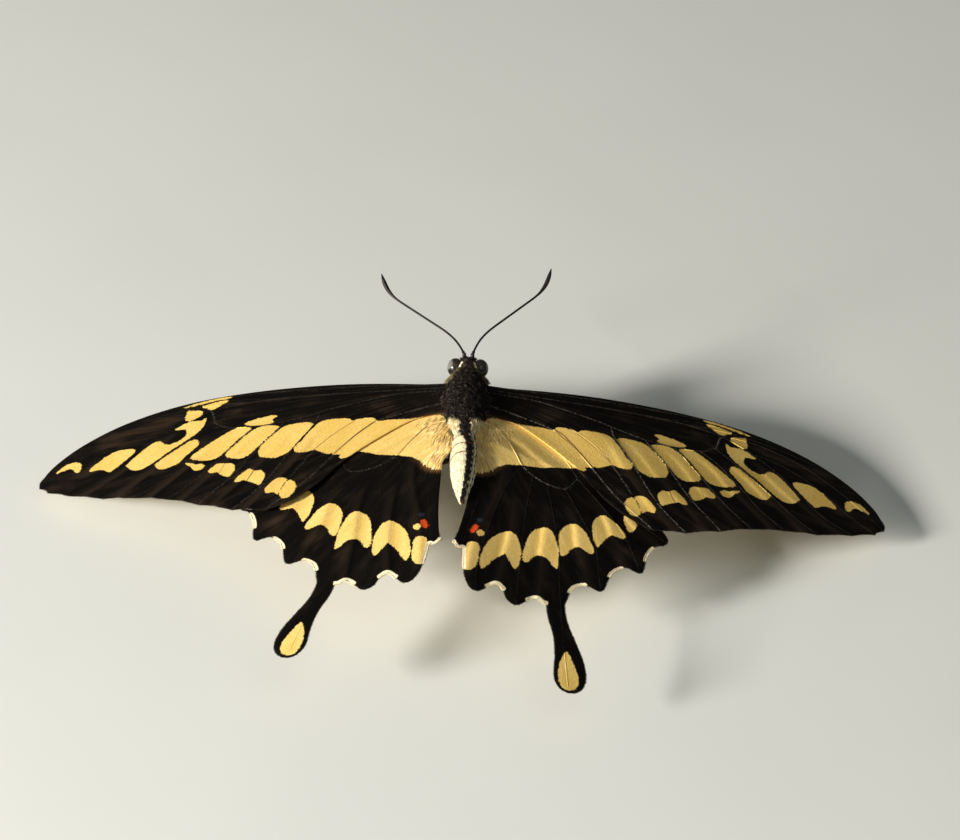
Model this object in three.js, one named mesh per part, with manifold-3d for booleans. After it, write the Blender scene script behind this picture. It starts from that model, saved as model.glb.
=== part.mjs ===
// Swallowtail butterfly, life size, standing with its four wings spread.
// Millimetres, +Z up, +Y towards the head, +X to the insect's right.
// The pose is set about a working point on the body's middle line, level with
// the forewing hinges; the last lines stand the finished insect on z = 0.

import Module from 'manifold-3d';
import * as THREE from 'three';
import { mergeVertices } from 'three/addons/utils/BufferGeometryUtils.js';
import { TessellateModifier } from 'three/addons/modifiers/TessellateModifier.js';

// ---------------------------------------------------------------- driving sizes

const HINGE_HEIGHT = 16.5;      // forewing hinges above the floor
const BODY_YAW = 1.4;           // degrees the body is turned from the wings' middle line
const WING_THICKNESS = 0.5;
const RIB_THICKNESS = 0.2;      // extra thickness under the wing along its front edge
const RIB_WIDTH = 2.5;
const JOINT_GAP = 0.3;          // gap kept between neighbouring solids

// Each wing: hinge place, then degrees of droop (outer end down), pitch (front up)
// and sweep (outer end forward) for the left and the right wing, its camber, and
// how far the end of its tail is lifted.
const FOREWING_POSE = {
  hinge: [3.2, 2.2, 0.0],
  left: { droop: 11.3, pitch: -3.5, sweep: -0.4, tailLift: 0 },
  right: { droop: 10.7, pitch: -3.5, sweep: 0.4, tailLift: 0 },
  camber: 2.1,
};
const HINDWING_POSE = {
  hinge: [3.0, -2.5, -1.0],
  left: { droop: 12.0, pitch: 2.0, sweep: 2.2, tailLift: 0.8 },
  right: { droop: 12.1, pitch: 3.8, sweep: -2.2, tailLift: -0.8 },
  camber: 0.05,
};
const CAMBER_SPAN = 60;
const TAIL_ROOT = -36;          // the tail lifts from here to its tip
const MAX_EDGE = 9;             // longest edge in a wing's faces

// Wing outlines in each wing's own plane: x out from the hinge, y forward.
const FOREWING = {
  costa: [[0.9, 2.9], [5, 4.5], [17, 7.0], [30, 8.1], [41, 7.4], [50, 4.5], [56.5, 0.1],
    [60.6, -4.8], [62.3, -9.0]],
  // where the veins meet the outer edge, from the apex to the hind corner
  veinEnds: [[62.1, -10.4], [60.6, -12.0], [57.0, -13.9], [51.4, -16.2], [46.2, -17.4],
    [41.0, -19.2], [36.2, -21.8], [30.8, -24.6], [25.8, -25.9]],
  scallop: 0.3,
  innerEdge: [[25.8, -25.9], [22.2, -24.2], [18.2, -20.4], [13.2, -13.2], [5.6, -6.2], [0.9, -4.4]],
};

const HINDWING = {
  costa: [[1.4, 2.2], [6, 3.6], [13, 2.2], [20, -2.6], [25.6, -9.4], [29.0, -14.6]],
  // the toothed outer edge down to the tail: a tooth at each vein, a bay after it
  outerEdge: [[29.8, -16.2], [29.2, -17.5], [27.9, -18.3], [26.9, -20.8], [26.7, -23.6],
    [26.1, -24.9], [23.9, -24.5], [22.3, -26.0], [21.6, -28.2], [21.3, -30.1], [20.5, -31.1],
    [18.3, -30.6], [16.9, -31.6], [16.2, -33.4]],
  // from the tail to the anal corner
  anal: [[12.6, -36.9], [11.4, -36.1], [10.1, -37.2], [8.7, -38.5], [7.3, -37.8], [6.4, -35.9],
    [5.3, -35.2], [4.2, -36.2], [2.9, -37.6], [1.6, -37.2], [0.5, -34.6], [0.1, -31.2],
    [-0.1, -28.9]],
  innerEdge: [[-0.9, -29.3], [-1.7, -28.4], [-1.4, -26.5], [-0.8, -20.3], [-0.55, -13], [-0.4, -6],
    [0.5, -3.4]],
};

// The tail: its middle line, and its half width from neck to paddle.
const TAIL = {
  line: [[14.4, -36.4], [15.0, -39.2], [16.35, -42.8], [17.5, -46.6], [18.0, -50.0], [18.0, -53.2]],
  neck: 1.35,
  paddle: 2.45,
  swellFrom: 0.25,
  paddleAt: 0.8,
};

// The body's sections, front to back: place along the body, height of the
// section's middle, half width, and half height above and below the middle.
const HEAD = [
  { y: 13.25, z: -1.5, w: 0.65, up: 0.9, down: 1.1 },
  { y: 12.6, z: -1.35, w: 1.45, up: 1.55, down: 1.75 },
  { y: 11.6, z: -1.3, w: 1.85, up: 1.75, down: 1.9 },
  { y: 10.5, z: -1.4, w: 1.9, up: 1.75, down: 1.8 },
  { y: 9.5, z: -1.5, w: 2.35, up: 1.7, down: 1.6 },
];
const THORAX = [
  { y: 9.2, z: -1.6, w: 2.6, up: 1.9, down: 1.8 },
  { y: 8.2, z: -1.7, w: 3.1, up: 2.6, down: 2.7 },
  { y: 6.2, z: -1.9, w: 3.5, up: 3.2, down: 3.6 },
  { y: 3.2, z: -2.2, w: 3.85, up: 3.85, down: 4.1 },
  { y: -0.5, z: -2.3, w: 3.9, up: 4.1, down: 4.2 },
  { y: -3.6, z: -2.1, w: 3.3, up: 3.75, down: 3.6 },
  { y: -5.4, z: -1.6, w: 2.5, up: 2.9, down: 2.6 },
  { y: -6.1, z: -1.4, w: 1.9, up: 2.1, down: 1.9 },
];
const ABDOMEN = {
  front: -6.4,
  back: -22.6,
  segments: 8,
  crease: 0.07,           // how far each ring between two segments is drawn in
  frontZ: -1.15,
  droop: 0.7,
  roundness: 1.08,        // height over width
};

const EYE = { centre: [2.2, 11.55, -1.2], depth: 0.95, radius: 1.45 };

// A feeler starts at one angle outwards from the head's own line, swings out to
// its shaft's angle, and turns forward again and up at its club.
const ANTENNA = {
  base: [0.62, 12.35, 0.75],
  length: 22.6,
  shaft: 0.25,
  club: 0.42,
  headYaw: 2.6,           // degrees the head is turned further to the left than the body
  startAngle: 16,
  shaftAngle: 43,
  clubAngle: 21,
  left: { lift: 1.2, clubLift: 37 },
  right: { lift: 5.2, clubLift: 43 },
};

const SOLE = 0.2;               // height of a foot's middle line
const PALP = { spread: 0.95, radius: 0.4 };
const PROBOSCIS = { y: 13.3, z: -5.0, radius: 0.25, pitch: 0.78, turns: 1.75, inner: 0.4 };

// Leg joints on the right side, from the hip outwards, with the height counted
// from the floor: hip, end of the short first length, knee, ankle, and the foot's
// two ends, which lie on the floor.
const LEGS = {
  fore: [[1.2, 6.0, 10.6], [2.0, 6.7, 8.9], [5.7, 10.8, 11.4], [7.9, 14.4, 4.4], [9.0, 17.0, SOLE],
    [10.2, 20.3, SOLE]],
  mid: [[1.3, 1.4, 9.7], [2.3, 0.8, 8.0], [8.6, 1.6, 11.2], [13.1, 0.4, 4.2], [15.6, -0.6, SOLE],
    [18.9, -1.6, SOLE]],
  hind: [[1.3, -2.6, 10.4], [2.2, -3.5, 8.7], [6.8, -8.8, 10.9], [9.1, -13.8, 4.2],
    [10.3, -17.0, SOLE], [11.7, -20.3, SOLE]],
};
const LEG_RADII = [[0, 0.6], [0.1, 0.42], [0.38, 0.36], [0.42, 0.32], [0.68, 0.27], [1, 0.25]];

const COLOURS = {
  fur: 0x17120e,
  cream: 0xe9d9a6,
  wing: 0x16110d,
  eye: 0x120d0c,
  horn: 0x1a1512,
};

// ---------------------------------------------------------------- small helpers

const wasm = await Module();
wasm.setup();

const degrees = THREE.MathUtils.degToRad;
const smooth = THREE.MathUtils.smoothstep;
const lerp = THREE.MathUtils.lerp;
const UP = new THREE.Vector3(0, 0, 1);
const ACROSS = new THREE.Vector3(1, 0, 0);

function material(colour, roughness) {
  return new THREE.MeshStandardMaterial({ color: colour, roughness, metalness: 0 });
}

// A closed mesh from vertices and triangles, turned to face outwards.
function solid(vertices, triangles) {
  let volume = 0;
  for (const [a, b, c] of triangles) {
    volume += vertices[a].dot(new THREE.Vector3().crossVectors(vertices[b], vertices[c]));
  }
  const order = volume < 0 ? [0, 2, 1] : [0, 1, 2];
  const geometry = new THREE.BufferGeometry().setFromPoints(vertices);
  geometry.setIndex(triangles.flatMap((t) => order.map((k) => t[k])));
  geometry.computeVertexNormals();
  return geometry;
}

// A skin over a row of rings with equal numbers of points, closed by a fan at each end.
function loft(rings) {
  const count = rings[0].length;
  const vertices = rings.flat();
  const triangles = [];
  for (let i = 0; i + 1 < rings.length; i += 1) {
    for (let k = 0; k < count; k += 1) {
      const a = i * count + k;
      const b = i * count + (k + 1) % count;
      triangles.push([a, b, a + count], [b, b + count, a + count]);
    }
  }
  for (const [ring, flip] of [[0, false], [rings.length - 1, true]]) {
    const centre = new THREE.Vector3();
    rings[ring].forEach((p) => centre.addScaledVector(p, 1 / count));
    vertices.push(centre);
    for (let k = 0; k < count; k += 1) {
      const a = ring * count + k;
      const b = ring * count + (k + 1) % count;
      triangles.push(flip ? [a, b, vertices.length - 1] : [b, a, vertices.length - 1]);
    }
  }
  return solid(vertices, triangles);
}

// A round tube along a curve that never runs along the given upward direction,
// with a radius that may change on the way. A floor height, where there is one,
// presses the underside flat.
function tube(curve, steps, sides, radiusAt, upward, floor = -Infinity) {
  const rings = [];
  for (let i = 0; i <= steps; i += 1) {
    const middle = curve.getPointAt(i / steps);
    const along = curve.getTangentAt(i / steps);
    const across = new THREE.Vector3().crossVectors(along, upward).normalize();
    const rise = new THREE.Vector3().crossVectors(across, along);
    const radius = radiusAt(i / steps);
    const ring = [];
    for (let k = 0; k < sides; k += 1) {
      const turn = (2 * Math.PI * k) / sides;
      const p = middle.clone().addScaledVector(across, radius * Math.cos(turn));
      p.addScaledVector(rise, radius * Math.sin(turn));
      p.z = Math.max(p.z, floor);
      ring.push(p);
    }
    rings.push(ring);
  }
  return loft(rings);
}

// A value that runs in straight lines through a row of [place, value] stops.
function graded(stops, t) {
  const k = Math.max(1, stops.findIndex(([place]) => place >= t));
  const [[from, low], [to, high]] = [stops[k - 1], stops[k]];
  return lerp(low, high, (t - from) / (to - from));
}

// A point of a smooth curve through a short row of [x, y] places.
function splinePoints(places, steps) {
  const curve = new THREE.SplineCurve(places.map(([x, y]) => new THREE.Vector2(x, y)));
  return curve.getPoints(steps);
}

// The body's section at a place between its stations, each size passing
// smoothly through the stations' values.
function sectionAt(stations, t) {
  const place = t * (stations.length - 1);
  const i = Math.min(Math.floor(place), stations.length - 2);
  const at = (k) => stations[THREE.MathUtils.clamp(k, 0, stations.length - 1)];
  const section = {};
  for (const size of ['y', 'z', 'w', 'up', 'down']) {
    const curve = new THREE.SplineCurve([0, 1, 2, 3].map((k) => new THREE.Vector2(k, at(i - 1 + k)[size])));
    section[size] = curve.getPoint((1 + place - i) / 3).y;
  }
  return section;
}

function sectionRing({ y, z, w, up, down }, sides, grow) {
  const ring = [];
  for (let k = 0; k < sides; k += 1) {
    const turn = (2 * Math.PI * k) / sides;
    const rise = Math.sin(turn);
    const height = (rise > 0 ? up : down) + grow;
    ring.push(new THREE.Vector3((w + grow) * Math.cos(turn), y, z + rise * height));
  }
  return ring;
}

function bodyLoft(stations, steps, sides, grow = 0) {
  const rings = [];
  for (let i = 0; i <= steps; i += 1) {
    rings.push(sectionRing(sectionAt(stations, i / steps), sides, grow));
  }
  return loft(rings);
}

function asManifold(geometry) {
  const bare = new THREE.BufferGeometry();
  bare.setAttribute('position', geometry.getAttribute('position').clone());
  bare.setIndex(geometry.getIndex().clone());
  const merged = mergeVertices(bare, 1e-5);
  return new wasm.Manifold(new wasm.Mesh({
    numProp: 3,
    vertProperties: new Float32Array(merged.getAttribute('position').array),
    triVerts: new Uint32Array(merged.getIndex().array),
  }));
}

// What is left of one closed geometry after others are cut out of it.
function cutBy(geometry, cutters) {
  const rest = cutters.reduce((piece, cutter) => piece.subtract(asManifold(cutter)), asManifold(geometry));
  const mesh = rest.getMesh();
  const result = new THREE.BufferGeometry();
  result.setAttribute('position', new THREE.BufferAttribute(mesh.vertProperties, 3));
  result.setIndex(new THREE.BufferAttribute(mesh.triVerts, 1));
  result.computeVertexNormals();
  return result;
}

function addMesh(group, name, geometry, finish) {
  const mesh = new THREE.Mesh(geometry, finish);
  mesh.name = name;
  group.add(mesh);
  return mesh;
}

// ---------------------------------------------------------------- wings

// A row of shallow hollows between one vein end and the next.
function scalloped(veinEnds, depth) {
  const points = [];
  const inner = new THREE.Vector2(0, 0);
  for (let i = 0; i + 1 < veinEnds.length; i += 1) {
    const a = new THREE.Vector2(...veinEnds[i]);
    const b = new THREE.Vector2(...veinEnds[i + 1]);
    for (const t of [0, 0.25, 0.5, 0.75]) {
      const p = a.clone().lerp(b, t);
      const inward = inner.clone().sub(p).normalize();
      points.push(p.addScaledVector(inward, depth * Math.sin(Math.PI * t)));
    }
  }
  return points;
}

function forewingOutline() {
  return [
    ...splinePoints(FOREWING.costa, 26),
    ...scalloped(FOREWING.veinEnds, FOREWING.scallop),
    ...splinePoints(FOREWING.innerEdge, 14),
  ];
}

// One side of the tail, from its neck to just short of its tip.
function tailSide(side, steps) {
  const middle = new THREE.SplineCurve(TAIL.line.map(([x, y]) => new THREE.Vector2(x, y)));
  const points = [];
  for (let i = 0; i < steps; i += 1) {
    const t = i / steps;
    const swell = smooth(t, TAIL.swellFrom, TAIL.paddleAt);
    const end = Math.max(0, (t - TAIL.paddleAt) / (1 - TAIL.paddleAt));
    const half = lerp(TAIL.neck, TAIL.paddle, swell) * Math.sqrt(1 - end ** 2);
    const along = middle.getTangentAt(t);
    const outward = new THREE.Vector2(-along.y, along.x).multiplyScalar(side * half);
    points.push(middle.getPointAt(t).add(outward));
  }
  return points;
}

function hindwingOutline() {
  const tip = new THREE.Vector2(...TAIL.line.at(-1));
  return [
    ...splinePoints([...HINDWING.costa, ...HINDWING.outerEdge], 58),
    ...tailSide(1, 14),
    tip,
    ...tailSide(-1, 14).reverse(),
    ...splinePoints(HINDWING.anal, 34),
    ...splinePoints(HINDWING.innerEdge, 16),
  ];
}

// A thin plate with the wing's outline and a rib along its front edge, bent to
// its camber, then turned about its hinge.
function wingPlate(outline, costa, pose, side, maxEdge) {
  const shape = new THREE.Shape(outline);
  const extruded = new THREE.ExtrudeGeometry(shape, { depth: WING_THICKNESS, bevelEnabled: false });
  extruded.deleteAttribute('normal');
  extruded.deleteAttribute('uv');
  const fine = mergeVertices(new TessellateModifier(maxEdge, 8).modify(extruded), 0.001);
  const front = splinePoints(costa, 40);
  const turn = side > 0 ? pose.right : pose.left;
  const placing = new THREE.Matrix4()
    .makeTranslation(...pose.hinge)
    .multiply(new THREE.Matrix4().makeRotationY(degrees(turn.droop)))
    .multiply(new THREE.Matrix4().makeRotationX(degrees(turn.pitch)))
    .multiply(new THREE.Matrix4().makeRotationZ(degrees(turn.sweep)));
  const position = fine.getAttribute('position');
  const vertices = [];
  for (let i = 0; i < position.count; i += 1) {
    const p = new THREE.Vector3().fromBufferAttribute(position, i);
    const toFront = Math.min(...front.map((q) => Math.hypot(q.x - p.x, q.y - p.y)));
    const rib = p.z < WING_THICKNESS / 2 ? RIB_THICKNESS * (1 - smooth(toFront, 0, RIB_WIDTH)) : 0;
    const lift = turn.tailLift * smooth(-p.y, -TAIL_ROOT, -TAIL.line.at(-1)[1]);
    p.z += lift - rib - WING_THICKNESS - pose.camber * (p.x / CAMBER_SPAN) ** 2;
    p.applyMatrix4(placing);
    p.x *= side;
    vertices.push(p);
  }
  const index = fine.getIndex().array;
  const triangles = [];
  for (let i = 0; i < index.length; i += 3) {
    triangles.push([index[i], index[i + 1], index[i + 2]]);
  }
  return solid(vertices, triangles);
}


// ---------------------------------------------------------------- body

// The abdomen swells behind its waist, tapers to the tip and is drawn in
// between its segments.
function abdomenGeometry(grow = 0) {
  const steps = 3 * ABDOMEN.segments;
  const rings = [];
  for (let i = 0; i <= steps; i += 1) {
    const t = i / steps;
    const taper = Math.sqrt(1 - (0.985 * t) ** 3.2) * lerp(0.8, 1.0, smooth(t, 0, 0.22));
    const crease = i % 3 === 0 && i > 0 && i < steps ? ABDOMEN.crease : 0;
    const half = 2.2 * taper * (1 - crease);
    const y = lerp(ABDOMEN.front, ABDOMEN.back, t);
    const z = ABDOMEN.frontZ - ABDOMEN.droop * t ** 1.5;
    const height = half * ABDOMEN.roundness;
    rings.push(sectionRing({ y, z, w: half, up: height, down: height }, 16, grow));
  }
  return loft(rings);
}

// A domed eye: a closed profile turned about the axis that points outwards.
function eyeGeometry(side) {
  const profile = [new THREE.Vector2(0, 0)];
  const steps = 7;
  for (let i = 0; i < steps; i += 1) {
    const angle = (Math.PI / 2) * (i / steps);
    profile.push(new THREE.Vector2(EYE.radius * Math.cos(angle), EYE.depth * Math.sin(angle)));
  }
  profile.push(new THREE.Vector2(0, EYE.depth));
  const geometry = new THREE.LatheGeometry(profile, 16);
  geometry.rotateZ(side > 0 ? -Math.PI / 2 : Math.PI / 2);
  return geometry;
}

function antennaCurve(word, side) {
  const steps = 40;
  const pace = ANTENNA.length / steps;
  const { lift, clubLift } = ANTENNA[word];
  const p = new THREE.Vector3(side * ANTENNA.base[0], ANTENNA.base[1], ANTENNA.base[2]);
  const points = [p.clone()];
  for (let i = 0; i < steps; i += 1) {
    const t = (i + 0.5) / steps;
    const shaftAngle = lerp(ANTENNA.startAngle, ANTENNA.shaftAngle, smooth(t, 0, 0.38));
    const outward = lerp(shaftAngle, ANTENNA.clubAngle, smooth(t, 0.77, 1));
    const heading = degrees(side * outward - ANTENNA.headYaw);
    const climb = degrees(lift + clubLift * smooth(t, 0.7, 1));
    p.x += pace * Math.sin(heading) * Math.cos(climb);
    p.y += pace * Math.cos(heading) * Math.cos(climb);
    p.z += pace * Math.sin(climb);
    points.push(p.clone());
  }
  return new THREE.CatmullRomCurve3(points);
}

function antennaRadius(t) {
  return lerp(ANTENNA.shaft, ANTENNA.club, smooth(t, 0.74, 0.9)) * (1 - 0.45 * smooth(t, 0.94, 1));
}

function palpGeometry(side) {
  const x = side * PALP.spread;
  const curve = new THREE.QuadraticBezierCurve3(
    new THREE.Vector3(x, 12.9, -3.4),
    new THREE.Vector3(x, 14.5, -3.2),
    new THREE.Vector3(x, 14.3, -1.2),
  );
  return tube(curve, 8, 8, (t) => PALP.radius * Math.sqrt(1 - (2 * t - 0.9) ** 4 * 0.62), ACROSS);
}

// The coiled tongue is a flat spiral between and below the palps.
function proboscisGeometry() {
  const points = [];
  const steps = 30;
  for (let i = 0; i <= steps; i += 1) {
    const turn = 2 * Math.PI * PROBOSCIS.turns * (i / steps);
    const reach = PROBOSCIS.inner + (PROBOSCIS.pitch * turn) / (2 * Math.PI);
    const y = PROBOSCIS.y - reach * Math.cos(turn);
    points.push(new THREE.Vector3(0, y, PROBOSCIS.z - reach * Math.sin(turn)));
  }
  return tube(new THREE.CatmullRomCurve3(points), steps, 6, () => PROBOSCIS.radius, ACROSS);
}

// A leg is a row of straight lengths with short bends at the joints; its foot
// is pressed flat where it lies on the floor.
function legGeometry(places, side) {
  const floor = -HINGE_HEIGHT;
  const joints = places.map(([x, y, z]) => new THREE.Vector3(side * x, y, z + floor));
  const path = new THREE.CurvePath();
  const bend = 0.9;
  let from = joints[0];
  for (let i = 1; i + 1 < joints.length; i += 1) {
    const before = joints[i].clone().add(joints[i - 1].clone().sub(joints[i]).setLength(bend));
    const after = joints[i].clone().add(joints[i + 1].clone().sub(joints[i]).setLength(bend));
    path.add(new THREE.LineCurve3(from, before));
    path.add(new THREE.QuadraticBezierCurve3(before, joints[i], after));
    from = after;
  }
  path.add(new THREE.LineCurve3(from, joints[joints.length - 1]));
  return tube(path, 24, 6, (t) => graded(LEG_RADII, t), UP, floor);
}

function addBody(group) {
  const body = new THREE.Group();
  body.rotation.z = degrees(BODY_YAW);
  group.add(body);
  const fur = material(COLOURS.fur, 0.9);
  const horn = material(COLOURS.horn, 0.5);
  addMesh(body, 'head', bodyLoft(HEAD, 10, 16), fur);
  addMesh(body, 'thorax', bodyLoft(THORAX, 16, 20), fur);
  addMesh(body, 'abdomen', abdomenGeometry(), material(COLOURS.cream, 0.8));
  addMesh(body, 'proboscis', proboscisGeometry(), horn);
  for (const [word, side] of [['left', -1], ['right', 1]]) {
    const eye = addMesh(body, `eye_${word}`, eyeGeometry(side), material(COLOURS.eye, 0.15));
    eye.position.set(side * EYE.centre[0], EYE.centre[1], EYE.centre[2]);
    addMesh(body, `antenna_${word}`, tube(antennaCurve(word, side), 22, 6, antennaRadius, UP), horn);
    addMesh(body, `palp_${word}`, palpGeometry(side), fur);
    for (const [name, places] of Object.entries(LEGS)) {
      addMesh(body, `leg_${name}_${word}`, legGeometry(places, side), horn);
    }
  }
}

// The wings stop a joint's gap short of the body, wherever they would reach it.
function addWings(group) {
  const finish = material(COLOURS.wing, 0.8);
  const body = [bodyLoft(THORAX, 16, 20, JOINT_GAP), abdomenGeometry(JOINT_GAP)];
  body.forEach((piece) => piece.rotateZ(degrees(BODY_YAW)));
  for (const [word, side] of [['left', -1], ['right', 1]]) {
    const forewing = wingPlate(forewingOutline(), FOREWING.costa, FOREWING_POSE, side, MAX_EDGE);
    addMesh(group, `forewing_${word}`, cutBy(forewing, body), finish);
    const hindwing = wingPlate(hindwingOutline(), HINDWING.costa, HINDWING_POSE, side, MAX_EDGE);
    addMesh(group, `hindwing_${word}`, cutBy(hindwing, body), finish);
  }
}

// ---------------------------------------------------------------- the whole insect

const butterfly = new THREE.Group();
addWings(butterfly);
addBody(butterfly);
butterfly.updateMatrixWorld(true);
const box = new THREE.Box3().setFromObject(butterfly, true);
const middle = box.getCenter(new THREE.Vector3());
butterfly.position.set(-middle.x, -middle.y, -box.min.z);

export default butterfly;
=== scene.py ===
# %% [markdown]
# # A swallowtail butterfly, life size
#
# A dried or living swallowtail is four thin scaled wings, a furry body and a few
# fine black limbs. The CAD model fixes where each of them is and how big it is.
# This lesson gives each part the surface that it has on the real insect: wing
# membranes with veins, pleats and a scale pattern, a coat of hair on the body,
# glossy eyes and jointed legs. The first cell loads the CAD model and keeps its box.

# %% The fixed frame
import math

import bpy
import numpy as np
from mathutils import Matrix, Vector
from mathutils.geometry import delaunay_2d_cdt


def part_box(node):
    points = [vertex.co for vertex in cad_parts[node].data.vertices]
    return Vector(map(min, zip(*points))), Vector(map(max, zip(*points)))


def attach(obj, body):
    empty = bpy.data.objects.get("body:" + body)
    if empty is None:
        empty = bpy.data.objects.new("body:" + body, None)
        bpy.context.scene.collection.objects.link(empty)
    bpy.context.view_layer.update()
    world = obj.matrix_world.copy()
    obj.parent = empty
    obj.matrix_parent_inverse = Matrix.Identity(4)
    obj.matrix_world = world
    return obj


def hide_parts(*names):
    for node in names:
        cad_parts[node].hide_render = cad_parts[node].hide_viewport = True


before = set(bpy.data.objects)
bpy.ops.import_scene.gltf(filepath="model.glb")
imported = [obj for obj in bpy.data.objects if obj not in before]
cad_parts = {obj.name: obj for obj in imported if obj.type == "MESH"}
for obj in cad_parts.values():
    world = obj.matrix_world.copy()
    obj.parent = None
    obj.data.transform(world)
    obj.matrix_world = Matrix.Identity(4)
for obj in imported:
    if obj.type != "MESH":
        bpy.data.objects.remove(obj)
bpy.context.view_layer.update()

print("CAD parts:", len(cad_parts))

# %% [markdown]
# ## Sizes and the working place
#
# A butterfly is measured in millimetres, so every size below is one. The insect
# is easiest to describe from a point on its middle line, level with the forewing
# hinges. The eyes are symmetric about that line, so the middle of their two CAD
# boxes tells where this point stands in the frame, and nothing is placed by eye.

# %% From working millimetres to the frame
MM = 0.001
BODY_YAW = math.radians(1.4)
EYES_MIDDLE = np.array([[0.0, 11.55, -1.2]])


def yawed(points, angle=BODY_YAW):
    """Points turned about the upright axis, as the body is turned from the wings."""
    c, s = math.cos(angle), math.sin(angle)
    return points @ np.array([[c, s, 0], [-s, c, 0], [0, 0, 1]])


eye_corners = [corner for word in ("left", "right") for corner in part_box(f"eye_{word}")]
hinge_point = np.mean(eye_corners, axis=0) / MM - yawed(EYES_MIDDLE)[0]
print("working point, mm:", hinge_point.round(3))


def in_frame(points):
    """Working millimetres to the frame's metres."""
    return (np.asarray(points, float) + hinge_point) * MM


# %% [markdown]
# ## Camera, floor and light
#
# The insect is seen from behind and above through a long lens, so that its wings
# keep their true proportions. A camera can be aimed with a Track To constraint,
# but a matrix built from three directions also gives the slight roll. The floor
# is plain and pale. A museum shoots such a model with one large soft lamp, here
# low on the left so that the veins and pleats show, and a weak fill from above.

# %% Camera
CAMERA_HEIGHT = math.radians(35.97)
CAMERA_SIDE = math.radians(1.34)
CAMERA_ROLL = math.radians(2.51)
CAMERA_DISTANCE = 700.0
CAMERA_AIM = (2.10, -2.16)  # across and up from the working point

back = Vector((
    math.sin(CAMERA_SIDE) * math.cos(CAMERA_HEIGHT),
    -math.cos(CAMERA_SIDE) * math.cos(CAMERA_HEIGHT),
    math.sin(CAMERA_HEIGHT),
))
level = Vector((math.cos(CAMERA_SIDE), math.sin(CAMERA_SIDE), 0.0))
turn = Matrix.Rotation(CAMERA_ROLL, 3, back)
across = turn @ level
upward = turn @ back.cross(level)
aim = across * CAMERA_AIM[0] + upward * CAMERA_AIM[1]
place = Vector(in_frame(aim + back * CAMERA_DISTANCE))

lens = bpy.data.cameras.new("camera")
lens.lens = 174
lens.sensor_width = 36
lens.clip_start = 0.01
lens.clip_end = 20
camera = bpy.data.objects.new("camera", lens)
pose = Matrix((across, upward, back)).transposed().to_4x4()
camera.matrix_world = Matrix.Translation(place) @ pose
bpy.context.collection.objects.link(camera)
bpy.context.scene.camera = camera
print("camera at", tuple(round(v, 4) for v in place))

# %% Lamps and the air's own light
LAMPS = {
    # name: from (mm), size (mm), watts, colour
    "key": ((-717, -448, 301), 176, 16.6, (1.0, 0.95, 0.86)),
    "fill": ((160, -380, 500), 500, 0.50, (0.93, 1.0, 0.88)),
}
for name, (where, size, watts, colour) in LAMPS.items():
    lamp = bpy.data.lights.new(name, "AREA")
    lamp.size = size * MM
    lamp.energy = watts
    lamp.color = colour
    stand = bpy.data.objects.new(name, lamp)
    stand.location = in_frame(where)
    stand.rotation_euler = (-Vector(where)).to_track_quat("-Z", "Y").to_euler()
    bpy.context.collection.objects.link(stand)

world = bpy.data.worlds.new("air")
world.use_nodes = True
world.node_tree.nodes["Background"].inputs["Color"].default_value = (0.90, 0.90, 0.88, 1)
world.node_tree.nodes["Background"].inputs["Strength"].default_value = 0.13
bpy.context.scene.world = world
bpy.context.scene.view_settings.view_transform = "Standard"

# %% [markdown]
# ## Node arithmetic
#
# Patterns are easier to read as sums than as wires. One small class holds an
# output socket and turns + - * into Math nodes, and another adds any node with
# its settings first and its sockets after. Both serve shaders and Geometry Nodes.

# %% Wires and node trees
class Wire:
    """An output socket that can be added, multiplied and compared."""

    def __init__(self, nodes, socket):
        self.nodes = nodes
        self.socket = socket

    def math(self, operation, *others):
        values = dict(enumerate((self, *others)))
        return self.nodes.add("ShaderNodeMath", {"operation": operation}, values)

    def __add__(self, other):
        return self.math("ADD", other)

    def __sub__(self, other):
        return self.math("SUBTRACT", other)

    def __mul__(self, other):
        return self.math("MULTIPLY", other)

    def __rsub__(self, other):
        return self * -1 + other

    __radd__ = __add__
    __rmul__ = __mul__

    def beside(self, output):
        """Another output of the same node."""
        return Wire(self.nodes, self.socket.node.outputs[output])

    def rise(self, low, high):
        """0 below low, 1 above high, smooth between; high may be the smaller."""
        values = {"Value": self, "From Min": low, "From Max": high}
        return self.nodes.add("ShaderNodeMapRange", {"interpolation_type": "SMOOTHSTEP"}, values)


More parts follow.
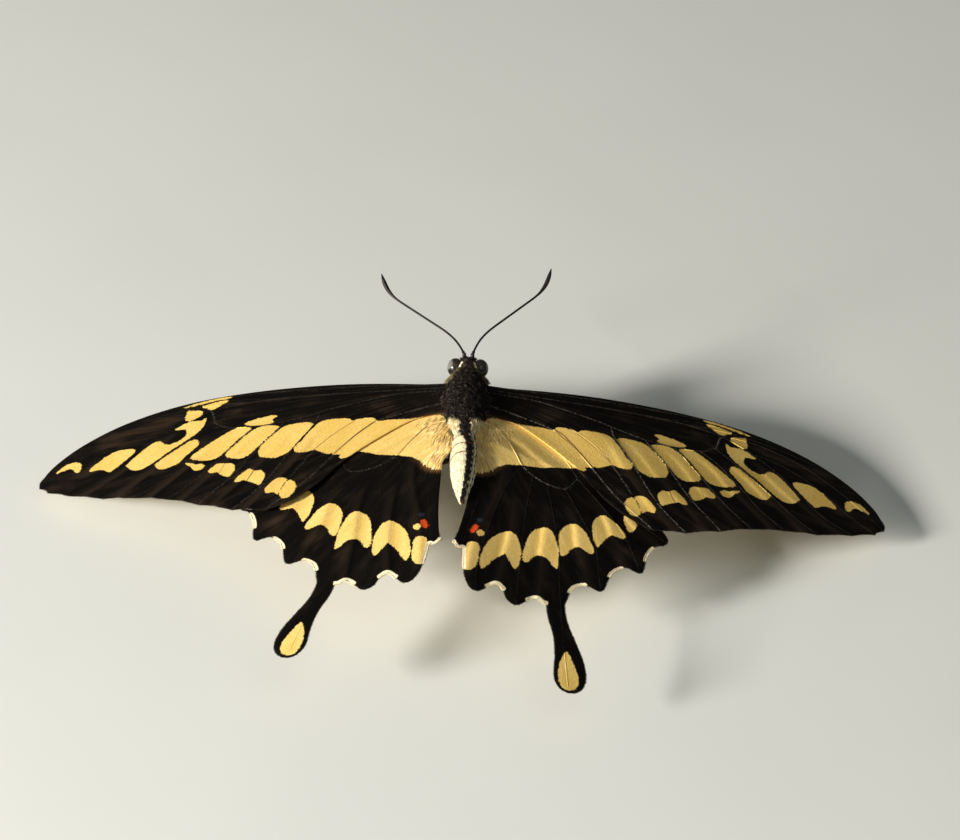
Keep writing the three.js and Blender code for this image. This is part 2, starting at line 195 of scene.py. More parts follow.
class Nodes:
    """A node tree that grows one node at a time."""

    def __init__(self, tree):
        self.tree = tree

    def add(self, kind, settings=None, values=None, output=0):
        node = self.tree.nodes.new(kind)
        for key, value in (settings or {}).items():
            setattr(node, key, value)
        for key, value in (values or {}).items():
            if isinstance(value, Wire):
                self.tree.links.new(value.socket, node.inputs[key])
            else:
                node.inputs[key].default_value = value
        return Wire(self, node.outputs[output]) if node.outputs else None

    def attribute(self, name):
        return self.add("ShaderNodeAttribute", {"attribute_name": name}, output="Fac")

    def uv(self, name):
        return self.add("ShaderNodeUVMap", {"uv_map": name})

    def scaled(self, vector, factors):
        return self.add("ShaderNodeVectorMath", {"operation": "MULTIPLY"}, {0: vector, 1: factors})

    def noise(self, vector, scale, detail=2.0, **values):
        values = {"Vector": vector, "Scale": scale, "Detail": detail, **values}
        return self.add("ShaderNodeTexNoise", None, values)

    def cells(self, vector, scale, **values):
        return self.add("ShaderNodeTexVoronoi", None, {"Vector": vector, "Scale": scale, **values})

    def mix(self, first, second, factor):
        """Colours mixed by a factor."""
        settings = {"data_type": "RGBA"}
        return self.add("ShaderNodeMix", settings, {0: factor, 6: first, 7: second}, 2)

    def layered(self, colour, *layers):
        """A colour with others laid over it in turn, each by its own factor."""
        for over, factor in layers:
            colour = self.mix(colour, rgb(*over), factor)
        return colour

    def bump(self, height, depth, normal=None):
        """A normal raised by height times depth, in millimetres."""
        values = {"Height": height, "Distance": depth * MM}
        if normal is not None:
            values["Normal"] = normal
        return self.add("ShaderNodeBump", None, values)


def rgb(red, green, blue):
    return (red, green, blue, 1.0)


class Finish(Nodes):
    """A material with one Principled shader, its plain numbers set on the shader."""

    def __init__(self, name, **plain):
        self.material = bpy.data.materials.new(name)
        self.material.use_nodes = True
        super().__init__(self.material.node_tree)
        self.shader = self.tree.nodes["Principled BSDF"]
        self.set(**plain)

    def set(self, **values):
        for key, value in values.items():
            socket = self.shader.inputs[key.replace("_", " ")]
            if isinstance(value, Wire):
                self.tree.links.new(value.socket, socket)
            else:
                socket.default_value = value

    def place(self):
        """Object coordinates in millimetres."""
        where = self.add("ShaderNodeTexCoord", None, None, "Object")
        return self.scaled(where, (1 / MM,) * 3)


# %% The floor
FLOOR_HALF = 3.0

floor_finish = Finish("floor_paper", Roughness=0.9, Specular_IOR_Level=0.2)
paper = floor_finish.place()
grain = floor_finish.noise(paper, 0.02, 4.0)
floor_finish.set(Base_Color=floor_finish.mix(rgb(0.70, 0.72, 0.71), rgb(0.77, 0.79, 0.78), grain))

floor_mesh = bpy.data.meshes.new("floor")
corners = [(x * FLOOR_HALF, y * FLOOR_HALF, 0) for x, y in ((-1, -1), (1, -1), (1, 1), (-1, 1))]
floor_mesh.from_pydata(corners, [], [(0, 1, 2, 3)])
floor_mesh.materials.append(floor_finish.material)
floor = bpy.data.objects.new("floor", floor_mesh)
bpy.context.collection.objects.link(floor)

# %% [markdown]
# ## Wing plans
#
# Each wing is flat enough to be drawn in its own plane: x outwards from the hinge,
# y forwards. Its outline, veins and spots are short rows of points, joined by
# smooth curves or with rounded corners. Left and right wings share one drawing,
# and only their pose differs. The numbers are the CAD model's, so the thin wing
# lies where the CAD plate is, but for small bends that lay one wing on the other.

# %% Curves in a plane
def spline(places, steps):
    """A smooth curve through a row of places."""
    p = np.array(places, float)
    t = np.linspace(0, len(p) - 1, steps + 1)
    i = np.minimum(t.astype(int), len(p) - 2)
    f = (t - i)[:, None]
    a, b, c, d = p[np.maximum(i - 1, 0)], p[i], p[i + 1], p[np.minimum(i + 2, len(p) - 1)]
    return b + 0.5 * ((c - a) * f + (2 * a - 5 * b + 4 * c - d) * f**2 + (3 * (b - c) + d - a) * f**3)


def evenly(path, spacing):
    """The same path with its points an even distance apart."""
    lengths = np.r_[0, np.cumsum(np.linalg.norm(np.diff(path, axis=0), axis=1))]
    count = max(2, int(round(lengths[-1] / spacing)) + 1)
    at = np.linspace(0, lengths[-1], count)
    return np.stack([np.interp(at, lengths, path[:, k]) for k in range(path.shape[1])], 1)


def closed(places, steps=8):
    """A smooth outline through a ring of places."""
    p = np.array(places, float)
    ring = np.vstack([p[-1:], p, p[:2]])
    whole = spline(ring, (len(ring) - 1) * steps)
    return whole[steps:-steps - 1]


def smooth(value, low, high):
    t = np.clip((value - low) / (high - low), 0, 1)
    return t * t * (3 - 2 * t)


def nearest(points, path):
    """For each point: its distance to a path, the side it lies on (+1 is left of
    the path's direction), and how far along the path, from 0 to 1."""
    start, step = path[:-1], np.diff(path, axis=0)
    length = np.linalg.norm(step, axis=1)
    travelled = np.r_[0, np.cumsum(length)]
    found = [np.empty(len(points)) for _ in range(3)]
    for chunk in np.array_split(np.arange(len(points)), max(1, len(points) * len(step) // 2_000_000)):
        gap = points[chunk, None] - start
        t = np.clip((gap * step).sum(-1) / length**2, 0, 1)
        gap = gap - t[..., None] * step
        distance = np.hypot(gap[..., 0], gap[..., 1])
        k = distance.argmin(1)
        rows = np.arange(len(chunk))
        side = step[k, 0] * gap[rows, k, 1] - step[k, 1] * gap[rows, k, 0]
        found[0][chunk] = distance[rows, k]
        found[1][chunk] = np.where(side < 0, -1, 1)
        found[2][chunk] = (travelled[k] + t[rows, k] * length[k]) / travelled[-1]
    return found


def inside(points, outline):
    """Which points a closed outline holds."""
    held = np.zeros(len(points), bool)
    for (x0, y0), (x1, y1) in zip(outline, np.roll(outline, -1, 0)):
        if y0 != y1:
            crosses = (points[:, 1] < y0) != (points[:, 1] < y1)
            held ^= crosses & (points[:, 0] < x0 + (points[:, 1] - y0) * (x1 - x0) / (y1 - y0))
    return held


def depth_in(points, outline):
    """Distance to a closed outline, positive inside it."""
    distance = nearest(points, np.vstack([outline, outline[:1]]))[0]
    return np.where(inside(points, outline), distance, -distance)


def shapes_depth(points, shapes):
    """Depth inside the nearest of several smooth shapes."""
    return np.max([depth_in(points, closed(shape)) for shape in shapes], 0)


# %% Outlines and poses
FORE = {
    "hinge": (3.2, 2.2, 0.0),
    # droop, pitch, sweep in degrees, and the lift of the tail's end in mm
    "left": (11.3, -3.5, -0.4, 0.0),
    "right": (10.7, -3.5, 0.4, 0.0),
    "camber": 2.1,
    "costa": [(0.9, 2.9), (5, 4.5), (17, 7.0), (30, 8.1), (41, 7.4), (50, 4.5), (56.5, 0.1),
              (60.6, -4.8), (62.3, -9.0)],
    "vein_ends": [(62.1, -10.4), (60.6, -12.0), (57.0, -13.9), (51.4, -16.2), (46.2, -17.4),
                  (41.0, -19.2), (36.2, -21.8), (30.8, -24.6), (25.8, -25.9)],
    "scallop": 0.3,
    "inner": [(25.8, -25.9), (22.2, -24.2), (18.2, -20.4), (13.2, -13.2), (5.6, -6.2), (0.9, -4.4)],
}
HIND = {
    "hinge": (3.0, -2.5, -1.0),
    "left": (12.0, 2.0, 2.2, 0.8),
    "right": (12.1, 3.8, -2.2, -0.8),
    "camber": 0.05,
    "costa": [(1.4, 2.2), (6, 3.6), (13, 2.2), (20, -2.6), (25.6, -9.4), (29.0, -14.6)],
    "outer": [(29.8, -16.2), (29.2, -17.5), (27.9, -18.3), (26.9, -20.8), (26.7, -23.6),
              (26.1, -24.9), (23.9, -24.5), (22.3, -26.0), (21.6, -28.2), (21.3, -30.1),
              (20.5, -31.1), (18.3, -30.6), (16.9, -31.6), (16.2, -33.4)],
    "anal": [(12.6, -36.9), (11.4, -36.1), (10.1, -37.2), (8.7, -38.5), (7.3, -37.8), (6.4, -35.9),
             (5.3, -35.2), (4.2, -36.2), (2.9, -37.6), (1.6, -37.2), (0.5, -34.6), (0.1, -31.2),
             (-0.1, -28.9)],
    "inner": [(-0.9, -29.3), (-1.7, -28.4), (-1.4, -26.5), (-0.8, -20.3), (-0.55, -13),
              (-0.4, -6), (0.5, -3.4)],
}
TAIL_LINE = [(14.4, -36.4), (15.0, -39.2), (16.35, -42.8), (17.5, -46.6), (18.0, -50.0), (18.0, -53.2)]
TAIL_NECK, TAIL_PADDLE, TAIL_PADDLE_AT = 1.35, 2.35, 0.8
TAIL_ROOT = -36.0
CAMBER_SPAN = 60.0
# the two wings of a side lie on each other: the forewing's inner edge bends down,
# and the hindwing's front bends up or down towards it, along the camera's view
EDGE_DROP, EDGE_REACH = 1.1, 11.0
HIND_LIFT, LIFT_FADE, PRESS_FADE = 1.0, 20.0, 1.5
WING_GAP = 0.30
# how far a wing's root runs on into the chest, and where along the wing that starts
ROOT_REACH = {"fore": (2.3, -16.0, -7.0), "hind": (1.5, -10.5, -6.0)}
ROOT_ACROSS = (0.3, 4.8)
OUTLINE_STEP = 0.22


def fore_outline():
    hollows = []
    for a, b in zip(FORE["vein_ends"], FORE["vein_ends"][1:]):
        for t in (0, 0.25, 0.5, 0.75):
            p = np.array(a) * (1 - t) + np.array(b) * t
            hollows.append(p * (1 - FORE["scallop"] * math.sin(math.pi * t) / np.linalg.norm(p)))
    return np.vstack([spline(FORE["costa"], 60), hollows, spline(FORE["inner"], 40)])


def tail_side(side):
    """One edge of the tail, from its neck to just short of its tip."""
    middle = evenly(spline(TAIL_LINE, 60), 0.25)
    t = np.linspace(0, 1, len(middle))
    swell = TAIL_NECK + (TAIL_PADDLE - TAIL_NECK) * smooth(t, 0.25, TAIL_PADDLE_AT)
    end = np.clip((t - TAIL_PADDLE_AT) / (1 - TAIL_PADDLE_AT), 0, 1)
    half = swell * np.sqrt(1 - end**2)
    along = np.gradient(middle, axis=0)
    along /= np.linalg.norm(along, axis=1)[:, None]
    outward = np.stack([-along[:, 1], along[:, 0]], 1)
    return (middle + side * half[:, None] * outward)[:-1]


def hind_outline():
    return np.vstack([
        spline(HIND["costa"] + HIND["outer"], 160),
        tail_side(1),
        [TAIL_LINE[-1]],
        tail_side(-1)[::-1],
        spline(HIND["anal"], 90),
        spline(HIND["inner"], 50),
    ])


def pose_of(wing, word):
    droop, pitch, sweep, _ = wing[word]
    return np.array(
        Matrix.Rotation(math.radians(droop), 3, "Y")
        @ Matrix.Rotation(math.radians(pitch), 3, "X")
        @ Matrix.Rotation(math.radians(sweep), 3, "Z")
    )


def cambered(wing, across):
    return wing["camber"] * (across / CAMBER_SPAN) ** 2


def edge_drop(plan):
    """How far the forewing's inner edge bends down towards the hindwing."""
    distance = nearest(plan, spline(FORE["inner"], 40))[0]
    return EDGE_DROP * (1 - smooth(distance, 0, EDGE_REACH))


def forewing_above(p, word):
    """For points in their pose: plan place and height of the forewing over them."""
    turned, hinge = pose_of(FORE, word), np.array(FORE["hinge"])
    plan = np.zeros((len(p), 2))
    for _ in range(4):
        height = -cambered(FORE, plan[:, 0])
        flat = p[:, :2] - hinge[:2] - height[:, None] * turned[:2, 2]
        plan = flat @ np.linalg.inv(turned[:2, :2]).T
    level = np.column_stack([plan, height]) @ turned[2] + hinge[2] - edge_drop(plan)
    return plan, level


def settled(points, wing, word):
    """Plan points (x, y, height) bent and turned into their wing's pose, in the frame."""
    p = np.array(points, float)
    plan, height = p[:, :2].copy(), p[:, 2:].copy()
    reach, low, high = ROOT_REACH["fore" if wing is FORE else "hind"]
    p[:, 0] -= reach * (1 - smooth(plan[:, 0], *ROOT_ACROSS)) * smooth(plan[:, 1], low, high)
    p[:, 2] = wing[word][3] * smooth(-plan[:, 1], -TAIL_ROOT, -TAIL_LINE[-1][1])
    p[:, 2] -= cambered(wing, plan[:, 0])
    turned = pose_of(wing, word)
    p = p @ turned.T + wing["hinge"]
    if wing is FORE:
        rise = -edge_drop(plan)
    else:
        above, level = forewing_above(p, word)
        cover, gap = depth_in(above, FORE["outline"]), level - WING_GAP - p[:, 2]
        rise = smooth(cover, -LIFT_FADE, 0) * np.clip(gap, 0, HIND_LIFT)
        rise += smooth(cover, -PRESS_FADE, 0) * np.clip(gap, -HIND_LIFT, 0)
    p[:, 2] += rise
    p[:, 1] -= rise / math.tan(CAMERA_HEIGHT)
    p += height * turned[:, 2]
    p[:, 0] *= 1 if word == "right" else -1
    return in_frame(p)


for wing, outline in ((FORE, fore_outline()), (HIND, hind_outline())):
    wing["outline"] = evenly(np.vstack([outline, outline[:1]]), OUTLINE_STEP)[:-1]
print("outline points:", len(FORE["outline"]), len(HIND["outline"]))

# %% [markdown]
# ## Veins and folds
#
# Veins are hollow tubes that stiffen the wing, thick at the root and fine at the
# edge. They could be painted, but they catch the light, so they are real ridges.
# Between two veins the membrane has a crease, and beyond it the surface steps up
# a little. That step makes each hindwing spot look split by a bright line.

# %% Where the veins and folds run
# name: path, radius at the root and at the end, how much pale glint is painted along it, partly for worn
# scales
FORE_VEINS = {
    "subcosta": ([(1.0, 3.2), (8, 4.7), (18, 6.3), (28, 7.3), (33.5, 7.7)], 0.17, 0.08, 0.25),
    "radius": ([(1.0, 2.4), (8, 3.3), (20, 4.6), (30, 5.2), (36.8, 4.4)], 0.20, 0.12, 0.25),
    "radius_1": ([(26, 5.0), (34, 6.6), (40, 6.5), (45.5, 5.9)], 0.10, 0.06, 0.1),
    "radius_2": ([(31, 5.2), (38, 5.7), (46, 4.5), (53, 2.3)], 0.10, 0.06, 0.1),
    "radius_3": ([(36.8, 4.4), (42, 4.4), (49, 2.0), (55, -2.6), (59.5, -7.3),
                  (62.1, -10.4)], 0.12, 0.05, 0.1),
    "radius_4": ([(42, 1.4), (46, 0.3), (50.5, -2.4), (54, -5.9), (57, -9.2),
                  (60.6, -12.0)], 0.10, 0.05, 0.1),
    "radius_5": ([(36.9, 4.2), (39.8, 2.6), (43, 0.2), (46.4, -3.3), (49.4, -7.6), (53, -11.5),
                  (57.0, -13.9)], 0.11, 0.05, 0.15),
    "cell_end": ([(36.8, 4.2), (36.3, 3.0), (36.0, 1.3), (35.7, 0.4)], 0.09, 0.09, 1.0),
    "cubitus": ([(1.0, 1.4), (6.5, 2.2), (13, 1.2), (17, 0.3), (20.5, -0.8), (25, -1.9),
                 (29.3, -2.0), (33.3, -1.4), (35.7, 0.4)], 0.19, 0.12, 0.45),
    "media_1": ([(35.7, 0.4), (38.2, -2.0), (41.5, -5.6), (44.6, -9.3), (48, -13.4),
                 (51.4, -16.2)], 0.11, 0.05, 0.15),
    "media_2": ([(33.3, -1.4), (36, -3.9), (39, -8), (42.4, -13.5), (46.2, -17.4)], 0.11, 0.05, 0.2),
    "media_3": ([(29.3, -2.0), (30.2, -3.6), (33.6, -9), (37, -14.5), (41.0, -19.2)], 0.12, 0.05, 0.35),
    "cubitus_1": ([(24.6, -1.9), (25.6, -3.8), (28.4, -8.6), (31.5, -15),
                   (36.2, -21.8)], 0.13, 0.05, 0.5),
    "cubitus_2": ([(19.3, -0.6), (19.9, -3.5), (22.7, -9.5), (26.5, -18.5),
                   (30.8, -24.6)], 0.14, 0.05, 0.7),
    "anal_fold": ([(12.9, -3.4), (14.1, -4.3), (16.5, -6.5), (18.0, -8.6), (19.6, -11.2),
                   (22.5, -17.5)], 0.07, 0.04, 0.5),
    "anal_2": ([(1.0, -1.6), (5, -3.2), (10.3, -4.9), (13, -7.7), (16.4, -13.1), (20.5, -19.8),
                (25.6, -25.6)], 0.18, 0.06, 0.9),
}
HIND_VEINS = {
    "cell_front": ([(1.2, 1.6), (6, 1.0), (12, -3.0), (15.2, -7.5)], 0.18, 0.10, 0.2),
    "radius": ([(12, -3.0), (18, -8.0), (23.8, -13.0), (29.4, -16.6)], 0.08, 0.05, 0.10),
    "media_1": ([(15.2, -7.5), (19.5, -12.6), (23.1, -17.4), (26.1, -24.4)], 0.08, 0.05, 0.12),
    "media_2": ([(13.5, -10.5), (16.2, -15.5), (19.1, -21.5), (20.7, -30.7)], 0.08, 0.05, 0.08),
    "media_3": ([(10.7, -10.5), (12.5, -18), (14.0, -25.5), (14.9, -34), (16.2, -42.5),
                 (17.9, -52)], 0.08, 0.05, 0.05),
    "cubitus_1": ([(8.5, -9.4), (8.2, -18), (8.4, -29.0), (8.7, -38.1)], 0.08, 0.05, 0.05),
    "cubitus_2": ([(6.6, -7.7), (4.6, -14), (2.9, -24), (2.3, -32), (2.4, -37.0)], 0.08, 0.05, 0.05),
    "cell_back": ([(1.0, -0.2), (3.0, -1.2), (5.2, -5.0), (6.6, -7.7), (8.5, -9.4),
                   (10.7, -10.5)], 0.17, 0.11, 0.8),
    "cell_end": ([(10.7, -10.5), (13.5, -10.5), (15.2, -7.5)], 0.09, 0.09, 0.35),
    "anal_2": ([(0.6, -1.6), (1.5, -6), (1.7, -12), (0.6, -20), (-0.4, -28.6)], 0.09, 0.05, 0.05),
}
# the creases, from the wing's middle to its edge, with the height of their step
FORE_FOLDS = [
    ([(20.5, -1.8), (23.4, -6), (26.3, -11.5), (33.5, -23.2)], 0.06),
    ([(26, -2.2), (29.6, -6), (32.6, -11.5), (38.6, -20.5)], 0.06),
    ([(30.8, -1.8), (34.8, -5.6), (37.8, -10.5), (43.6, -18.3)], 0.07),
    ([(36, -1.8), (40.0, -5.6), (43.6, -10.5), (48.8, -16.8)], 0.07),
    ([(38.5, 1.6), (42, -2), (46.5, -7.6), (54.2, -15.1)], 0.06),
    ([(16.5, -2.2), (19.0, -6), (22.5, -15), (28.3, -25.2)], 0.07),
]
HIND_FOLDS = [
    ([(5.6, -12), (5.9, -22.5), (5.6, -28.8), (4.8, -35.3)], 0.15),
    ([(9.7, -12), (10.9, -19.5), (11.0, -26.8), (11.3, -36.1)], 0.15),
    ([(12.3, -12), (15.2, -17.5), (16.3, -23.0), (18.3, -30.6)], 0.14),
    ([(14.8, -9), (19.3, -14.0), (21.2, -18.5), (23.6, -24.7)], 0.12),
    ([(15.5, -6), (20.6, -10.2), (24.2, -15.0), (28.1, -18.3)], 0.12),
    ([(3.2, -4), (3.2, -14), (1.2, -24), (0.4, -34)], 0.15),
    ([(1.2, -2.5), (4.8, -2.5), (8.5, -5.2), (12, -7.5)], 0.12),
]
FOLD_WIDTH = 0.45
FOLD_REACH = 2.4


def folds_height(points, folds):
    """Each crease lifts the membrane on its outer side and lowers it on its inner."""
    height = np.zeros(len(points))
    for path, step in folds:
        distance, side, along = nearest(points, spline(path, 40))
        fade = np.clip(1 - distance / FOLD_REACH, 0, 1) * smooth(along, 0, 0.3)
        height += step * fade * np.tanh(side * distance / FOLD_WIDTH)
    return height


# %% [markdown]
# ## The scale pattern
#
# A butterfly's colours are dust-fine scales, each of one colour. The pattern has
# sharp sides along the veins and ragged ends across them. An image would carry
# it, but a drawing keeps clean at any size: each spot is a rounded shape, and
# every vertex is told how deep it lies inside the yellow, the cream, the red and
# so on. The shader then cuts those depths at zero, with one random step for each
# scale, which frays the edge as real scales do.

# %% Spots of the forewing, from the body to the tip
FORE_YELLOW = [
    # the broad band, then the spots between the veins
    [(0.2, -5.9), (2.2, -5.1), (5.0, -5.4), (8.0, -5.1), (10.3, -4.9), (10.7, -4.1), (11.8, -3.7),
     (13.2, -3.8), (14.0, -4.1), (14.6, -3.4), (15.8, -3.0), (18.0, -2.9), (19.2, -3.4), (20.1, -4.8),
     (21.6, -7.9), (22.5, -9.8), (22.2, -10.9), (21.4, -11.2), (20.3, -11.1), (19.5, -10.9), (18.6, -11.5),
     (17.4, -12.5), (16.6, -12.5), (16.3, -13.0), (15.4, -13.1), (14.6, -14.2), (7, -10)],
    [(20.3, -4.0), (20.6, -3.1), (21.4, -2.85), (23.9, -2.9), (24.9, -3.4), (26.1, -5.0), (27.6, -7.3),
     (28.1, -9.2), (27.8, -10.8), (26.9, -11.3), (25.6, -11.7), (24.4, -11.3), (23.2, -10.2), (21.6, -6.8)],
    [(25.5, -3.0), (26.4, -2.5), (28.0, -2.3), (29.3, -2.9), (30.4, -4.1), (31.9, -6.5), (33.1, -8.6),
     (33.0, -9.6), (32.0, -10.3), (30.6, -10.5), (29.6, -9.9), (28.6, -8.3), (27.3, -6.0), (26.0, -4.0)],
    [(29.9, -2.5), (30.8, -1.95), (32.1, -1.85), (33.4, -2.6), (34.8, -3.9), (36.8, -5.9), (38.5, -7.9),
     (38.6, -8.8), (37.4, -9.5), (35.5, -9.8), (34.3, -9.3), (33.2, -7.7), (31.8, -5.2), (30.6, -3.6)],
    [(37.8, -4.7), (38.3, -3.6), (39.3, -3.7), (40.6, -4.9), (42.6, -7.0), (44.1, -8.8), (43.9, -9.7),
     (43.1, -10.4), (41.7, -10.1), (40.5, -9.3), (39.3, -7.2), (38.3, -5.7)],
    [(37.4, 2.4), (38.2, 1.9), (39.6, 2.1), (41.0, 1.4), (42.1, 0.3), (41.0, 0.1), (40.3, -0.2),
     (40.2, -1.9), (41.2, -3.1), (42.6, -3.7), (43.6, -3.2), (44.2, -2.4), (45.1, -2.6), (46.6, -4.3),
     (48.2, -6.7), (48.8, -7.9), (48.2, -8.9), (47.1, -9.6), (45.9, -9.3), (44.4, -8.0), (42.2, -5.5),
     (40.0, -3.3), (38.4, -1.4), (37.6, 0.3)],
    [(47.9, -4.3), (48.2, -3.5), (49.3, -3.2), (51.0, -3.4), (52.1, -4.1), (53.4, -5.6), (54.6, -7.4),
     (54.3, -8.0), (53.1, -7.8), (52.2, -8.2), (51.3, -8.9), (50.4, -8.0), (49.0, -6.1)],
    [(56.1, -6.1), (56.5, -5.0), (57.4, -4.6), (58.5, -4.9), (59.3, -5.7), (60.0, -6.9), (59.0, -6.6),
     (58.1, -6.2), (57.4, -6.5), (57.0, -7.3), (56.5, -7.7), (56.2, -7.0)],
    # by the front edge, and at the end of the cell
    [(38.2, 4.2), (38.8, 4.9), (39.8, 5.1), (40.6, 5.3), (40.6, 4.2), (40.8, 3.2), (40.2, 2.2),
     (39.2, 2.8), (38.3, 3.4)],
    [(34.3, 6.6), (35.6, 6.7), (37.2, 6.4), (38.6, 5.9), (37.6, 5.3), (36.8, 4.6), (36.0, 5.0), (35.2, 5.8)],
    [(34.1, 7.7), (36.5, 7.7), (39.4, 7.1), (41.4, 6.4), (39.6, 6.5), (36.5, 7.1), (34.2, 7.3)],
    [(26.1, 0.1), (26.8, 0.5), (28.0, 0.3), (29.8, -0.1), (31.0, -0.8), (30.6, -1.4), (29.0, -1.9),
     (27.6, -1.9), (26.5, -1.5), (26.8, -0.6)],
    # the row nearer the outer edge
    [(36.3, -11.2), (36.8, -10.5), (37.6, -10.6), (38.4, -10.2), (39.3, -9.8), (38.9, -10.6),
     (38.3, -11.2), (37.9, -12.0), (37.1, -12.3), (36.5, -11.9)],
    [(31.5, -12.4), (32.0, -11.7), (33.2, -11.5), (34.2, -11.3), (35.0, -12.1), (35.5, -13.1),
     (34.8, -13.7), (34.0, -13.6), (33.2, -14.6), (32.2, -15.3), (31.6, -14.4), (31.4, -13.4)],
    [(26.7, -15.5), (27.3, -14.7), (28.2, -14.6), (29.0, -14.0), (29.8, -14.5), (30.5, -15.5), (31.1, -16.7),
     (30.8, -17.2), (29.6, -16.9), (28.6, -17.6), (27.8, -18.2), (27.2, -18.8), (26.7, -17.6), (26.5, -16.4)],
    [(21.5, -20.4), (21.9, -19.1), (22.5, -18.5), (23.0, -18.9), (23.6, -20.6), (23.9, -21.8),
     (23.4, -23.2), (22.5, -23.2), (21.7, -22.0)],
    [(23.0, -18.2), (23.9, -17.6), (24.9, -18.0), (25.7, -19.2), (26.2, -20.3), (25.9, -21.2),
     (24.8, -21.3), (24.1, -21.9), (23.8, -20.5), (23.3, -19.0)],
]
# thin lines across the yellow: path and half width
FORE_INK = [
    ([(10.0, -4.4), (11.6, -6.2), (13.6, -8.6), (16.4, -12.8)], 0.13),
    ([(13.8, -4.2), (16.2, -6.6), (18.0, -8.8), (19.6, -11.0)], 0.06),
    ([(28.3, -14.4), (28.8, -16.0), (29.3, -17.4)], 0.09),
    ([(33.0, -11.2), (33.5, -13.0), (33.9, -14.6)], 0.04),
]
# painted light: brown where light falls on the black scales near the tip
FORE_LIT_BROWN = [
    [(41, 3.6), (45, 4.2), (49, 3.0), (53, 0.0), (53.6, -2.6), (50.6, -2.4), (46.4, -0.6), (43.0, 1.0)],
]

# %% Spots of the hindwing
HIND_YELLOW = [
    [(-3.0, -1.0), (-3.0, -11.2), (-1.2, -11.8), (0.3, -11.9), (1.6, -11.2), (2.6, -9.9), (4.2, -8.5),
     (6.5, -7.7), (9.0, -7.1), (13.0, -5.8), (17.0, -4.2), (20.0, -2.0), (12, 4.0), (6.0, 4.5),
     (2.0, 1.2), (0.2, -0.3)],
    [(6.2, -23.2), (7.2, -23.8), (7.9, -25.2), (8.3, -27.6), (8.25, -29.8), (7.8, -30.9), (7.3, -30.5),
     (6.7, -29.4), (6.0, -28.4), (5.2, -29.1), (4.4, -30.1), (3.7, -31.6), (3.0, -32.6), (2.5, -31.8),
     (2.5, -30.2), (3.0, -27.6), (3.8, -25.5), (4.9, -24.0)],
    [(11.2, -20.4), (12.2, -20.7), (13.0, -22.0), (13.6, -24.6), (13.95, -27.3), (13.8, -28.6), (13.2, -28.2),
     (12.5, -27.2), (11.6, -26.8), (10.6, -26.8), (10.0, -27.6), (9.6, -28.6), (9.1, -28.9), (8.7, -28.2),
     (8.75, -26.2), (9.1, -23.4), (10.0, -21.2)],
    [(15.4, -17.9), (16.6, -18.3), (17.6, -19.4), (18.5, -21.4), (19.0, -22.8), (18.7, -23.5), (17.9, -23.3),
     (17.2, -22.8), (16.2, -22.8), (15.5, -23.6), (15.0, -24.9), (14.4, -25.6), (13.9, -24.8), (13.65, -22.6),
     (13.65, -20.4), (14.4, -18.6)],
    [(19.8, -14.3), (21.0, -14.9), (22.4, -16.0), (23.4, -17.6), (23.0, -18.4), (21.9, -18.2),
     (21.1, -18.4), (20.3, -19.6), (19.8, -20.9), (19.35, -21.5), (18.8, -20.4), (18.35, -18.0),
     (18.4, -16.2), (18.9, -14.9)],
    [(22.9, -13.2), (24.5, -13.9), (24.8, -15.0), (24.1, -16.4), (23.3, -15.4)],
    [(0.5, -27.7), (1.9, -27.7), (2.15, -29.5), (2.1, -32.0), (1.6, -33.4), (0.7, -33.9), (0.3, -33.3),
     (0.4, -31.0), (0.2, -29.2)],
    [(17.0, -45.3), (18.2, -47.3), (19.3, -50.2), (19.0, -52.0), (18.0, -52.7), (16.9, -52.1),
     (16.3, -50.2), (16.3, -47.5)],
    [(1.4, -25.2), (1.9, -24.5), (2.6, -25.1), (1.9, -25.9)],
]
HIND_INK = [
    ([(3.0, -1.2), (5.2, -5.0), (6.6, -7.7)], 0.07),
    ([(1.5, -2.5), (1.5, -6), (1.7, -11.5)], 0.03),
]
# brown patches beside the outer spots, in the same mask as the forewing's painted light, so they too show
# mostly on the left wing
HIND_BROWN = [
    [(11.6, -29.0), (12.8, -28.6), (13.4, -30.4), (12.4, -31.0)],
    [(16.4, -25.0), (17.8, -25.0), (18.4, -27.0), (17.0, -27.6)],
    [(22.4, -20.0), (24.2, -19.6), (25.0, -21.4), (23.4, -22.4)],
]
# cream rims in the bays of the edge: middle, reach along the edge, width
HIND_CREAM = [
    ((27.2, -20.2), 2.0, 0.36),
    ((22.6, -26.0), 1.8, 0.34),
    ((17.1, -31.6), 1.9, 0.45),
    ((11.6, -36.4), 1.7, 0.55),
    ((5.3, -35.5), 1.6, 0.52),
    ((0.1, -30.9), 2.9, 0.36),
    ((-1.1, -28.7), 1.0, 0.30),
]
HIND_RED = [[(0.35, -25.1), (0.6, -24.3), (1.1, -23.5), (1.45, -23.9), (1.35, -24.7), (0.8, -25.4)]]
HIND_BLUE = [[(1.2, -22.4), (1.5, -22.0), (1.9, -22.4), (1.5, -22.9)]]


def stroke_depth(points, strokes):
    """Depth inside the nearest of several lines with half widths."""
    return np.max([half - nearest(points, spline(path, 24))[0] for path, half in strokes], 0)


def vein_glint_and_wear(points, veins):
    """How much pale glint is painted along the veins at each point, partly for worn scales."""
    glint_and_wear = np.zeros(len(points))
    for path, thick, thin, amount in veins.values():
        distance, _, along = nearest(points, spline(path, 30))
        half = 0.09 + 0.5 * (thick * (1 - along) + thin * along)
        glint_and_wear = np.maximum(glint_and_wear, amount * (1 - smooth(distance, 0, half)))
    return glint_and_wear


def bays_depth(points, bays, outline):
    """Depth inside rims of a given width, each round the middle of a bay."""
    rim = depth_in(points, outline)
    return np.max([
        np.minimum(width - rim, reach - np.hypot(*(points - middle).T))
        for middle, reach, width in bays
    ], 0)


NONE = -9.0  # a depth far outside every mark
RAYS_FROM = {"fore": (-5.0, 3.4), "hind": (-4.0, 7.0)}
RAYS_ROUND, RAYS_OUT = 30, 0.10


